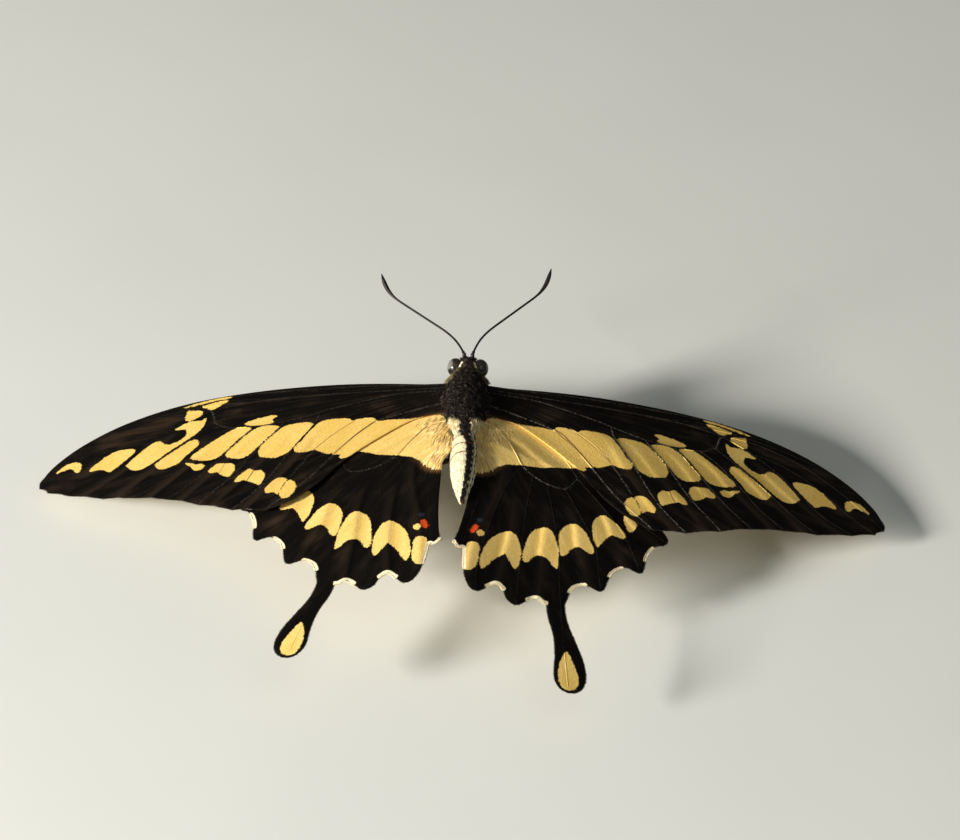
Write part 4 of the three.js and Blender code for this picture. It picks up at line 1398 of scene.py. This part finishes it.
# %% Skin piece
def furry_finish(name, tufted):
    """Black, cream, rust and olive by the marks; a coat is paler towards its tips."""
    finish = Finish(name, Roughness=0.62, Specular_IOR_Level=0.25)
    place = finish.place()
    noise = finish.noise(place, 1.3, 3.0)
    fine = finish.noise(place, 7.0, 2.0)
    fray = (fine - 0.5) * 0.3
    ragged = fray * 1.2
    behind, pale = finish.attribute("behind"), finish.attribute("pale")
    black = finish.mix(rgb(0.0065, 0.0045, 0.0035), rgb(0.022, 0.014, 0.009), noise.rise(0.4, 0.7))
    cream = finish.mix(rgb(0.93, 0.86, 0.60), rgb(0.86, 0.72, 0.40), noise.rise(0.50, 0.75) * 0.6)
    if tufted:
        tuft, tip = finish.attribute("tuft"), finish.attribute("leaf_v")
        # painted sheen, partly the hairs' own tone: black hairs turn brown towards their tips, and a few
        # tufts carry pale grey-brown glints
        black = finish.layered(
            black,
            ((0.060, 0.044, 0.032), tip * tuft.rise(0.45, 1.0) * 0.7),
            ((0.34, 0.29, 0.22), tuft.rise(0.84, 0.90) * noise.rise(0.48, 0.58) * tip * 0.9),
        )
        cream = finish.layered(cream, ((0.96, 0.92, 0.74), tip * 0.6))
        ragged = ragged + (tuft - 0.5) * 0.75
    joints = finish.attribute("joint") * (fray * 2 + 0.6) * 0.55
    cream = finish.layered(cream, ((0.42, 0.33, 0.20), joints))
    cream = finish.mix(rgb(0.90, 0.76, 0.44), cream, behind)
    if tufted:
        # painted light and shade on the chest's cream tufts: some tufts whiter as highlights, and darker
        # towards the strands' roots as shade
        shade = (1 - tip) * (1 - behind) * 0.8
        cream = finish.layered(
            cream,
            ((0.97, 0.91, 0.72), tuft.rise(0.5, 0.1) * (1 - behind) * 0.8),
            ((0.42, 0.26, 0.10), shade * tuft.rise(0.2, 0.8)),
        )
    colour = finish.mix(black, cream, (pale + ragged).rise(0.42, 0.58))
    stripe = (finish.attribute("stripe") + fray * 0.25).rise(-0.06, 0.06)
    colour = finish.layered(
        finish.mix(colour, black, stripe),
        ((0.50, 0.45, 0.34), finish.attribute("fleck").rise(0.0, 0.1) * pale * 0.8),
        ((0.15, 0.030, 0.018), (finish.attribute("ring") + fray * 0.1).rise(-0.03, 0.03)),
        ((0.14, 0.045, 0.022), finish.attribute("tip").rise(0.3, 0.9) * 0.85),
    )
    olive = finish.mix(rgb(0.09, 0.070, 0.028), rgb(0.30, 0.25, 0.13), fine.rise(0.42, 0.62))
    olive_line = (finish.attribute("olive") + fray * 3.6 - 0.1).rise(-0.05, 0.3)
    brow = (finish.attribute("brow") + fray * 0.4).rise(-0.02, 0.08)
    colour = finish.layered(finish.mix(colour, olive, olive_line * 0.85), ((0.90, 0.84, 0.62), brow))
    finish.set(Base_Color=colour)
    if not tufted:
        finish.set(Normal=finish.bump(finish.cells(place, 9.0), 0.03))
    return finish.material


skin_finish = furry_finish("body_skin", False)
coat_finish = furry_finish("body_coat", True)


def add_skin():
    faces = faces_of(skin)
    mesh = make_mesh("body_skin", in_frame(flesh_at), faces, [skin_finish], fields)
    corner = corners_of(mesh)
    around = fields["root_v"][corner].reshape(-1, 4)
    split = (np.ptp(around, 1) > 0.5)[:, None] & (around < 0.5)
    around = np.where(split, around + UNWRAP_ROUND, around)
    add_map(mesh, "OFBake", per_corner=np.column_stack([fields["root_u"][corner], around.ravel()]))
    nodes = ["head", "thorax", "abdomen", "palp_left", "palp_right"]
    return add_piece("body_skin", mesh, nodes)


add_skin()

# %% [markdown]
# ## Coats
#
# Hair particles don't leave the program, so a coat here is a mesh: a small tuft
# of tapering strands, planted many times over the skin by Geometry Nodes. Each
# copy turns to the lie of the coat, leans at random and scales with the length
# wanted there. The same tree plants long hairs, flat scales, fringes and spines.
# Only the tuft and the numbers differ.

# %% Tufts
def make_tuft(name, strands, width, spread, flatness, seed, curl=0.14):
    """Strands one unit long that grow along z and curl over towards -x."""
    random = np.random.default_rng(seed)
    points, faces, leaf = [], [], []
    for strand in range(strands):
        foot = random.uniform(-1, 1, 2) * spread * 0.4
        lean = random.normal(0, 1, 2) * spread
        tall = random.uniform(0.7, 1.0)
        first = len(points)
        for t, size in ((0.0, 0.8), (0.45, 1.0), (1.0, 0.0)):
            middle = foot + lean * t - np.array([curl * t * t, 0])
            for turn in ((0, 1, 2) if size else (0,)):
                angle = math.radians(120 * turn)
                offset = np.array([flatness * math.cos(angle), math.sin(angle)]) * width * size
                points.append((*(middle + offset), t * tall))
                leaf.append(((strand + turn / 3) / strands, t))
        a, b, tip = first, first + 3, first + 6
        faces.append((a + 2, a + 1, a))
        for k in range(3):
            n = (k + 1) % 3
            faces.append((a + k, a + n, b + n, b + k))
            faces.append((b + k, b + n, tip))
    mesh = bpy.data.meshes.new(name)
    mesh.from_pydata(points, [], faces)
    for label, column_of in (("leaf_u", 0), ("leaf_v", 1)):
        values = np.array(leaf, np.float32)[:, column_of]
        mesh.attributes.new(label, "FLOAT", "POINT").data.foreach_set("value", values)
    tuft = bpy.data.objects.new(name, mesh)
    bpy.context.collection.objects.link(tuft)
    return tuft


TUFTS = {
    "hair": make_tuft("hair_tuft", 4, 0.046, 0.17, 0.7, 3, 0.20),
    "short": make_tuft("short_tuft", 4, 0.060, 0.22, 0.7, 5),
    "scale": make_tuft("scale_tuft", 3, 0.170, 0.16, 0.25, 7, 0.05),
    "silk": make_tuft("silk_tuft", 4, 0.085, 0.14, 0.35, 8, 0.05),
    "long": make_tuft("long_tuft", 3, 0.0085, 0.040, 0.7, 9, 0.03),
    "spine": make_tuft("spine", 1, 0.085, 0.02, 1.0, 11, 0.10),
}

# %% The coat tree
coats = GeometryTree(
    "Coat", Tuft="NodeSocketObject", Density=10.0, Spread=0.2, Seed=1, Finish="NodeSocketMaterial",
)


def random_number(tree, low, high, seed):
    values = {2: low, 3: high, "Seed": seed}
    return tree.add("FunctionNodeRandomValue", {"data_type": "FLOAT"}, values, 1)


def build_coat_tree(tree):
    thick = tree.named("thick") * tree.given("Density")
    values = {"Mesh": tree.given("Geometry"), "Density": thick, "Seed": tree.given("Seed")}
    roots = tree.add("GeometryNodeDistributePointsOnFaces", {"distribute_method": "RANDOM"}, values)
    normal = roots.beside("Normal")
    box = {0: (-1.0,) * 3, 1: (1.0,) * 3, "Seed": 2}
    stray = tree.add("FunctionNodeRandomValue", {"data_type": "FLOAT_VECTOR"}, box)
    spread = {0: stray, 3: tree.given("Spread")}
    stray = tree.add("ShaderNodeVectorMath", {"operation": "SCALE"}, spread)
    aims = {0: tree.named("grow", "FLOAT_VECTOR"), 1: stray}
    aim_along = tree.add("ShaderNodeVectorMath", {"operation": "ADD"}, aims)
    axes = {"primary_axis": "Z", "secondary_axis": "X"}
    along = {"Primary Axis": aim_along, "Secondary Axis": normal}
    turned = tree.add("FunctionNodeAxesToRotation", axes, along)
    tint = {"Geometry": roots, "Name": "tuft", "Value": random_number(tree, 0.0, 1.0, 4)}
    on_points = {"data_type": "FLOAT", "domain": "POINT"}
    tinted = tree.add("GeometryNodeStoreNamedAttribute", on_points, tint)
    shape = tree.add("GeometryNodeObjectInfo", None, {"Object": tree.given("Tuft")}, "Geometry")
    size = tree.named("length") * random_number(tree, 0.72, 1.18, 3)
    placed = {"Points": tinted, "Instance": shape, "Rotation": turned, "Scale": size}
    tree.close(tree.add("GeometryNodeInstanceOnPoints", None, placed), tree.given("Finish"))


build_coat_tree(coats)
LEAF = 0.003  # each tuft's patch on the map


def ground_mesh(points, faces, grow, fields):
    """A mesh to plant on, in working millimetres."""
    mesh = make_mesh("ground", points, faces, [], fields)
    arrows = mesh.attributes.new("grow", "FLOAT_VECTOR", "POINT")
    arrows.data.foreach_set("vector", grow.astype(np.float32).ravel())
    return mesh


def add_coat(name, ground, tuft, finish, density, spread, seed):
    """Plants tufts on a ground mesh and keeps them as a piece of the butterfly."""
    values = {"Tuft": TUFTS[tuft], "Density": density, "Spread": spread, "Seed": seed, "Finish": finish}
    mesh = run_tree(coats, ground, **values)
    mesh.name = name
    mesh.vertices.foreach_set("co", in_frame(positions(mesh)).astype(np.float32).ravel())
    for layer in list(mesh.uv_layers):
        mesh.uv_layers.remove(layer)
    root = np.column_stack([column(mesh, "root_u"), column(mesh, "root_v")])
    leaf = np.column_stack([column(mesh, "leaf_u"), column(mesh, "leaf_v")])
    add_map(mesh, "OFBake", root + leaf * LEAF)
    mesh.shade_smooth()
    return add_piece(name, mesh)


# %% The body's coats
BODY_COATS = {
    # name: from, to along the body, tuft, density per square mm, spread
    "coat_head": (9.4, 15.0, "short", 46.0, 0.45),
    "coat_chest_front": (2.6, 9.4, "hair", 22.0, 0.20),
    "coat_chest_back": (-6.6, 2.6, "hair", 19.0, 0.20),
    "coat_abdomen_front": (-13.0, -6.6, "silk", 36.0, 0.10),
    "coat_abdomen_back": (-23.0, -13.0, "silk", 34.0, 0.10),
}
for seed, (name, (low, high, tuft, density, spread)) in enumerate(BODY_COATS.items(), 20):
    here = (flesh[:, 1] > low) & (flesh[:, 1] <= high)
    planted = {**fields, "thick": fields["thick"] * here}
    ground = ground_mesh(flesh_at, faces_of(skin), yawed(grow), planted)
    add_coat(name, ground, tuft, coat_finish, density, spread, seed)

# %% [markdown]
# ## Eyes
#
# A swallowtail's eye is a dark ball of some thousand facets that fills the side of
# the head. Rings of quads round an axis that points outwards make an even dome, and
# the facets are a honeycomb of fine bumps under a clear gloss. A pale reflection of
# the sky is painted on the outer upper side, stronger on the lit left eye.

# %% Two eyes
def eye_finish():
    finish = Finish("eye", Roughness=0.22, Specular_IOR_Level=0.4, Coat_Weight=0.35, Coat_Roughness=0.06)
    place = finish.place()
    facets = finish.cells(place, 13.0)
    blotch = finish.noise(place, 1.1, 3.0)
    colour = finish.mix(rgb(0.008, 0.006, 0.005), rgb(0.040, 0.027, 0.017), blotch.rise(0.42, 0.66))
    # painted reflection: pale grey on the outer upper side of the eye
    sky_reflection = (finish.attribute("sky_reflection") + (blotch - 0.5) * 0.8).rise(0.30, 0.80)
    colour = finish.mix(colour, rgb(0.17, 0.18, 0.16), sky_reflection * 0.85)
    finish.set(Base_Color=colour, Normal=finish.bump(facets, 0.012))
    return finish.material


REFLECTION_FACES = (0.80, -0.20, 0.56)  # the painted reflection of the sky faces out and up
# the painted reflection is stronger on the lit left eye
REFLECTION_BY_SIDE = {"left": 1.0, "right": 0.3}

eye_look = eye_finish()
for word, side in (("left", -1), ("right", 1)):
    centre = np.array(EYE_CENTRE) * (side, 1, 1)
    points, faces = dome(centre, EYE_SIZE)
    facing = (points - centre) / EYE_SIZE @ (np.array(REFLECTION_FACES) * (side, 1, 1))
    sky_reflection = {"sky_reflection": smooth(facing, 0.70, 0.97) * REFLECTION_BY_SIDE[word]}
    mesh = make_mesh(f"eye_{word}_ball", in_frame(yawed(points)), faces, [eye_look], sky_reflection)
    add_piece(f"eye_{word}_ball", mesh, [f"eye_{word}"])

# %% [markdown]
# ## Antennae, tongue and legs
#
# These limbs are horn: thin, jointed tubes. Each is a path with a width at every
# point, swept by the tube tree. Narrow places in the width make the rings of the
# antenna and the joints of the foot, so they are real shape, and the coat tree
# sets spines on the shins.

# %% Horn
def horn_finish():
    finish = Finish("horn", Roughness=0.36, Specular_IOR_Level=0.3)
    place = finish.place()
    noise = finish.noise(place, 1.6, 3.0)
    fine = finish.noise(place, 14.0, 2.0)
    colour = finish.mix(rgb(0.005, 0.0038, 0.003), rgb(0.020, 0.013, 0.008), noise.rise(0.45, 0.7))
    finish.set(Base_Color=colour, Roughness=fine * 0.2 + 0.36, Normal=finish.bump(fine, 0.02))
    return finish.material


horn_look = horn_finish()


def add_limb(name, paths, replaces, sides=12, floor=None):
    """Tubes along paths as one horn piece, pressed flat where it meets the floor."""
    mesh = run_tree(tubes, path_mesh(paths), Sides=sides, Finish=horn_look)
    p = positions(mesh)
    if floor is not None:
        p[:, 2] = np.maximum(p[:, 2], floor)
    mesh = make_mesh(name, in_frame(yawed(p)), faces_of(mesh), [horn_look])
    return add_piece(name, mesh, replaces)


# %% Antennae
ANTENNA_BASE = (0.62, 12.35, 0.75)
ANTENNA_LENGTH = 22.6
ANTENNA_RISE = {"left": (1.2, 37.0), "right": (5.2, 43.0)}
HEAD_YAW = 2.6
ANTENNA_SUNK = 0.95  # its root reaches down into the head
RING_PITCH = 0.42


def antenna_path(word, side, steps=420):
    t = (np.arange(steps) + 0.5) / steps
    outward = 16 + 27 * smooth(t, 0, 0.38)
    outward += (21 - outward) * smooth(t, 0.77, 1)
    heading = np.radians(side * outward - HEAD_YAW)
    start, more = ANTENNA_RISE[word]
    climb = np.radians(start + more * smooth(t, 0.7, 1))
    pace = ANTENNA_LENGTH / steps
    level = np.cos(climb)
    step = pace * np.column_stack([np.sin(heading) * level, np.cos(heading) * level, np.sin(climb)])
    line = np.array(ANTENNA_BASE) * (side, 1, 1) + np.vstack([np.zeros(3), np.cumsum(step, 0)])
    line[0] -= (0, 0.3, ANTENNA_SUNK)
    t = np.linspace(0, 1, len(line))
    width = 0.168 + 0.18 * smooth(t, 0.76, 0.91)
    width *= np.sqrt(np.clip(1 - smooth(t, 0.90, 1.0) ** 2 * 0.94, 0, 1))
    width *= 1 + 0.9 * (1 - smooth(t, 0.0, 0.018)) + 0.5 * np.exp(-(((t - 0.028) / 0.008) ** 2))
    ring = np.abs((t * ANTENNA_LENGTH / RING_PITCH) % 1 - 0.5) * 2
    return line, width * (1 - 0.13 * ring**6)


for word, side in (("left", -1), ("right", 1)):
    add_limb(f"antenna_{word}_rod", [antenna_path(word, side)], [f"antenna_{word}"], 14)

# %% The coiled tongue
TONGUE_Y, TONGUE_Z = 13.3, -5.0
TONGUE_PITCH, TONGUE_TURNS, TONGUE_INNER = 0.78, 1.75, 0.4


def tongue_path(steps=260):
    turn = np.linspace(0, 2 * math.pi * TONGUE_TURNS, steps)
    reach = TONGUE_INNER + TONGUE_PITCH * turn / (2 * math.pi)
    line = np.column_stack([0 * turn, TONGUE_Y - reach * np.cos(turn), TONGUE_Z - reach * np.sin(turn)])
    t = np.linspace(0, 1, steps)
    rings = 1 - 0.07 * (np.abs((t * 60) % 1 - 0.5) * 2) ** 4
    return line, (0.15 + 0.09 * t) * rings


tongue_line, tongue_width = tongue_path()
root = spline([tongue_line[-1], (0, 12.75, -3.9), (0, 12.0, -3.1)], 40)[1:]
whole_tongue = (np.vstack([tongue_line, root]), np.r_[tongue_width, np.full(len(root), 0.25)])
add_limb("proboscis_coil", [whole_tongue], ["proboscis"])

# %% Legs
FLOOR_BELOW = -16.5
LEGS = {
    # root, hip, knee, end of the shin, heel and toe, with heights above the floor
    "fore": [(1.2, 6.0, 10.6), (2.0, 6.7, 8.9), (5.7, 10.8, 11.4), (7.9, 14.4, 4.4),
             (9.0, 17.0, 0.2), (10.2, 20.3, 0.2)],
    "mid": [(1.3, 1.4, 9.7), (2.3, 0.8, 8.0), (8.6, 1.6, 11.2), (13.1, 0.4, 4.2),
            (15.6, -0.6, 0.2), (18.9, -1.6, 0.2)],
    "hind": [(1.3, -2.6, 10.4), (2.2, -3.5, 8.7), (6.8, -8.8, 10.9), (9.1, -13.8, 4.2),
             (10.3, -17.0, 0.2), (11.7, -20.3, 0.2)],
}
LEG_BEND = 0.75
SPINE_CLEAR = 0.5  # no spine grows lower than this above the floor


def bent(corners, reach):
    """Straight lengths joined by short round bends, and how far along each corner is."""
    p = np.array(corners, float)
    points = [p[:1]]
    for before, corner, after in zip(p, p[1:], p[2:]):
        a = corner + (before - corner) * reach / np.linalg.norm(before - corner)
        b = corner + (after - corner) * reach / np.linalg.norm(after - corner)
        points.append(bezier(a, corner, b, 7))
    line = evenly(np.vstack([*points, p[-1:]]), 0.10)
    at = [np.linalg.norm(line - corner, axis=1).argmin() / (len(line) - 1) for corner in p]
    return line, at


def leg_paths(places, side):
    """The leg, its five-jointed foot, two claws and two shin spurs."""
    joints = np.array(places) * (side, 1, 1) + (0, 0, FLOOR_BELOW)
    line, at = bent(joints, LEG_BEND)
    t = np.linspace(0, 1, len(line))
    hip, knee, ankle, sole = at[1], at[2], at[4], at[5]
    width = np.interp(t, [0, hip, (hip + knee) / 2, knee, at[3], ankle, sole],
                      [0.62, 0.42, 0.44, 0.30, 0.27, 0.23, 0.19])
    width *= 1 - 0.30 * np.exp(-(((t - hip) / 0.012) ** 2)) - 0.22 * np.exp(-(((t - knee) / 0.010) ** 2))
    shin_end = at[3] + 0.86 * (ankle - at[3])
    foot = np.clip((t - shin_end) / (1 - shin_end), 0, 1)
    bead = np.abs((foot * 5) % 1 - 0.5) * 2
    width *= np.where(foot > 0, 1.08 - 0.42 * bead**5, 1)
    width[-3:] *= (0.9, 0.7, 0.4)
    paths = [(line, width)]
    end, along = line[-1], unit(line[-1:] - line[-6:-5])[0]
    aside = np.cross(along, (0, 0, 1))
    for way in (-1, 1):
        claw = bezier(end - along * 0.1, end + along * 0.35 + aside * way * 0.22 + (0, 0, 0.22),
                      end + along * 0.62 + aside * way * 0.26 - (0, 0, 0.10), 9)
        paths.append((claw, np.linspace(0.09, 0.02, 9)))
        heel = line[int(shin_end * (len(line) - 1))]
        out = heel + aside * way * 0.34
        spur = bezier(heel, out + along * 0.5, out + along * 1.1, 8)
        paths.append((spur, np.linspace(0.09, 0.025, 8)))
    return paths


def spined_ground(name):
    """The leg's own surface, with spines wanted on the shin and foot."""
    piece = bpy.data.objects[name]
    p = positions(piece.data) / MM - hinge_point
    normal = normals_of(piece.data)
    low = smooth(-(p[:, 2] - FLOOR_BELOW), -8.5, -6.5)
    clear = p[:, 2] > FLOOR_BELOW + SPINE_CLEAR
    aim_at = unit(normal * 0.8 + np.array([0, 0, -0.55]))
    fields = {"thick": low * clear, "length": np.full(len(p), 0.42)}
    fields["root_u"], fields["root_v"] = (p[:, 1] + 25) / 50, (p[:, 0] + 22) / 44
    return ground_mesh(p, faces_of(piece.data), aim_at, fields)


for name, places in LEGS.items():
    for word, side in (("left", -1), ("right", 1)):
        add_limb(f"leg_{name}_{word}_limb", leg_paths(places, side), [f"leg_{name}_{word}"], 12, FLOOR_BELOW)
        ground = spined_ground(f"leg_{name}_{word}_limb")
        add_coat(f"spines_{name}_{word}", ground, "spine", horn_look, 5.0, 0.35, 40)

# %% [markdown]
# ## Wing hairs and fringes
#
# Long pale hairs grow over the yellow bands beside the body, and the chest's black
# fur runs out over the forewing's root. Short scales stick out beyond the wing's
# edge: black ones, and cream ones in the bays. The coat tree plants them all, the
# hairs on the wing's own upper face and the fringe on a narrow ribbon round its rim.

# %% Hairs over the wing roots
HAIR_PATCHES = {
    # kind: middle on the plan, reach, direction on the plan, length
    "fore": [((0.4, 0.2), 3.6, (0.8, -0.6), 1.6), ((1.0, -3.2), 3.4, (0.5, -0.9), 2.0),
             ((4.2, -4.6), 3.0, (0.6, -0.8), 1.6)],
    "hind": [((0.6, -1.0), 4.4, (0.45, -0.9), 2.4), ((0.2, -5.0), 3.2, (0.15, -1.0), 2.6),
             ((0.0, -9.0), 2.4, (0.05, -1.0), 2.4), ((-0.2, -13.0), 1.8, (0.0, -1.0), 1.8)],
}
FUR_PATCHES = [((0.0, 0.9), 4.6, (0.9, -0.5), 1.3)]
HAIR_FLOAT = 0.05


def hair_finish():
    """Hairs have the colour of the wing that they grow on."""
    finish = Finish("wing_hair", Roughness=0.6, Specular_IOR_Level=0.2)
    tip = finish.attribute("leaf_v")
    tone = finish.attribute("tuft")
    pale = finish.mix(rgb(0.92, 0.66, 0.24), rgb(0.98, 0.84, 0.50), tip * 0.5 + tone * 0.5)
    dark = finish.mix(rgb(0.008, 0.006, 0.004), rgb(0.05, 0.035, 0.024), tip * tone)
    finish.set(Base_Color=finish.mix(dark, pale, finish.attribute("yellow").rise(-0.5, 0.2)))
    return finish.material


hair_look = hair_finish()


def wing_ground(kind, wing, word, solid, patches):
    """The upper face of a wing near its root, as a ground for hairs."""
    points, faces, looks_down = solid
    plan = points[:, :2]
    size, thick, ahead = np.zeros(len(plan)), np.zeros(len(plan)), np.zeros((len(plan), 3))
    for middle, reach, way, tall in patches:
        near = smooth(np.hypot(*(plan - middle).T), reach, reach * 0.1)
        thick = np.maximum(thick, near)
        size = np.maximum(size, tall * (0.6 + 0.4 * near) * (near > 0))
        ahead += near[:, None] * (*way, 0)
    upper = [face for face, down in zip(faces, looks_down) if not down and len(face) == 3
             and all(thick[k] > 0 for k in face)]
    used, packed = np.unique(np.array(upper), return_inverse=True)
    place = settled(points[used], wing, word) / MM - hinge_point
    side = 1 if word == "right" else -1
    ahead = unit(ahead[used]) * 0.5 + (0, 0, HAIR_FLOAT)
    ahead = settled(points[used] + ahead, wing, word) / MM - hinge_point - place
    faces = [tuple(t) if side > 0 else tuple(t)[::-1] for t in packed.reshape(-1, 3).tolist()]
    flat = (plan[used] - BAKE_FROM[kind]) / BAKE_SPAN[kind]
    yellow = wing["pattern"](plan[used])["yellow"]
    size = size[used] * (0.5 + 0.5 * smooth(yellow, -0.6, 0.3))
    fields = {"thick": thick[used], "length": size, "yellow": yellow}
    fields["root_u"], fields["root_v"] = flat.T
    return ground_mesh(place, faces, unit(ahead), fields)


for kind, wing in (("fore", FORE), ("hind", HIND)):
    for word in ("left", "right"):
        ground = wing_ground(kind, wing, word, wing["solid"], HAIR_PATCHES[kind])
        add_coat(f"hair_{kind}wing_{word}", ground, "long", hair_look, 9.0, 0.05, 50)

for word in ("left", "right"):
    ground = wing_ground("fore", FORE, word, FORE["solid"], FUR_PATCHES)
    add_coat(f"fur_forewing_{word}", ground, "hair", hair_look, 14.0, 0.20, 55)

# %% Fringes
RIBBON = 0.12
FRINGE = 0.26
# how much of the cream shows on each side, more on the lit left side as painted light, and how much longer
# its scales are
CREAM = {("fore", "left"): (0.42, 0.0), ("fore", "right"): (0.1, 0.0),
         ("hind", "left"): (1.0, 0.5), ("hind", "right"): (0.8, 0.25)}
FORE_BAYS = [
    (tuple((np.array(a) + b) / 2), 0.75, 0.1) for a, b in zip(FORE["vein_ends"], FORE["vein_ends"][1:])
]


def fringe_finish():
    finish = Finish("wing_fringe", Roughness=0.65, Specular_IOR_Level=0.2)
    tone = finish.attribute("tuft") * 0.5 + finish.attribute("leaf_v") * 0.5
    black = finish.mix(rgb(0.006, 0.004, 0.003), rgb(0.030, 0.020, 0.014), tone)
    cream = finish.mix(rgb(0.72, 0.60, 0.36), rgb(0.88, 0.79, 0.56), tone)
    finish.set(Base_Color=finish.mix(black, cream, finish.attribute("cream").rise(0.3, 0.6)))
    return finish.material


fringe_look = fringe_finish()


def fringe_ground(kind, wing, word, bays):
    """A narrow level ribbon inside the rim, with scales wanted on the outer edge."""
    rim = wing["outline"]
    along = np.roll(rim, -1, 0) - np.roll(rim, 1, 0)
    outward = unit(np.column_stack([-along[:, 1], along[:, 0]]))
    cream = smooth(bays_depth(rim, bays, rim), 0.0, 0.12)
    edge = np.array(wing["vein_ends"] if kind == "fore" else wing["outer"] + TAIL_LINE + wing["anal"])
    outer = smooth(nearest(rim, spline(edge, 200))[0], 3.2, 2.4)
    count = len(rim)
    points = np.vstack([
        np.column_stack([rim - RIBBON * outward, np.full(count, -0.03)]),
        np.column_stack([rim, np.full(count, -0.06)]),
    ])
    points[:, 2] += folds_height(points[:, :2], wing["folds"])
    ahead = points + np.tile(np.column_stack([outward * 0.5, np.full(count, -0.04)]), (2, 1))
    place = settled(points, wing, word) / MM - hinge_point
    aim_at = unit(settled(ahead, wing, word) / MM - hinge_point - place)
    faces = [(k, (k + 1) % count, count + (k + 1) % count, count + k) for k in range(count)]
    if word == "left":
        faces = [face[::-1] for face in faces]
    flat = (np.tile(rim, (2, 1)) - BAKE_FROM[kind]) / BAKE_SPAN[kind]
    shown, longer = CREAM[kind, word]
    size = FRINGE * (1 + longer * cream)
    cream = cream * shown
    fields = {"thick": np.maximum(outer, cream), "length": size, "cream": cream}
    fields = {key: np.tile(values, 2) for key, values in fields.items()}
    fields["root_u"], fields["root_v"] = flat.T
    return ground_mesh(place, faces, aim_at, fields)


for kind, wing, bays in (("fore", FORE, FORE_BAYS), ("hind", HIND, HIND_CREAM)):
    for word in ("left", "right"):
        ground = fringe_ground(kind, wing, word, bays)
        add_coat(f"fringe_{kind}wing_{word}", ground, "scale", fringe_look, 85.0, 0.25, 60)

# the loose tufts were only patterns for the trees
for tuft in TUFTS.values():
    bpy.data.objects.remove(tuft)
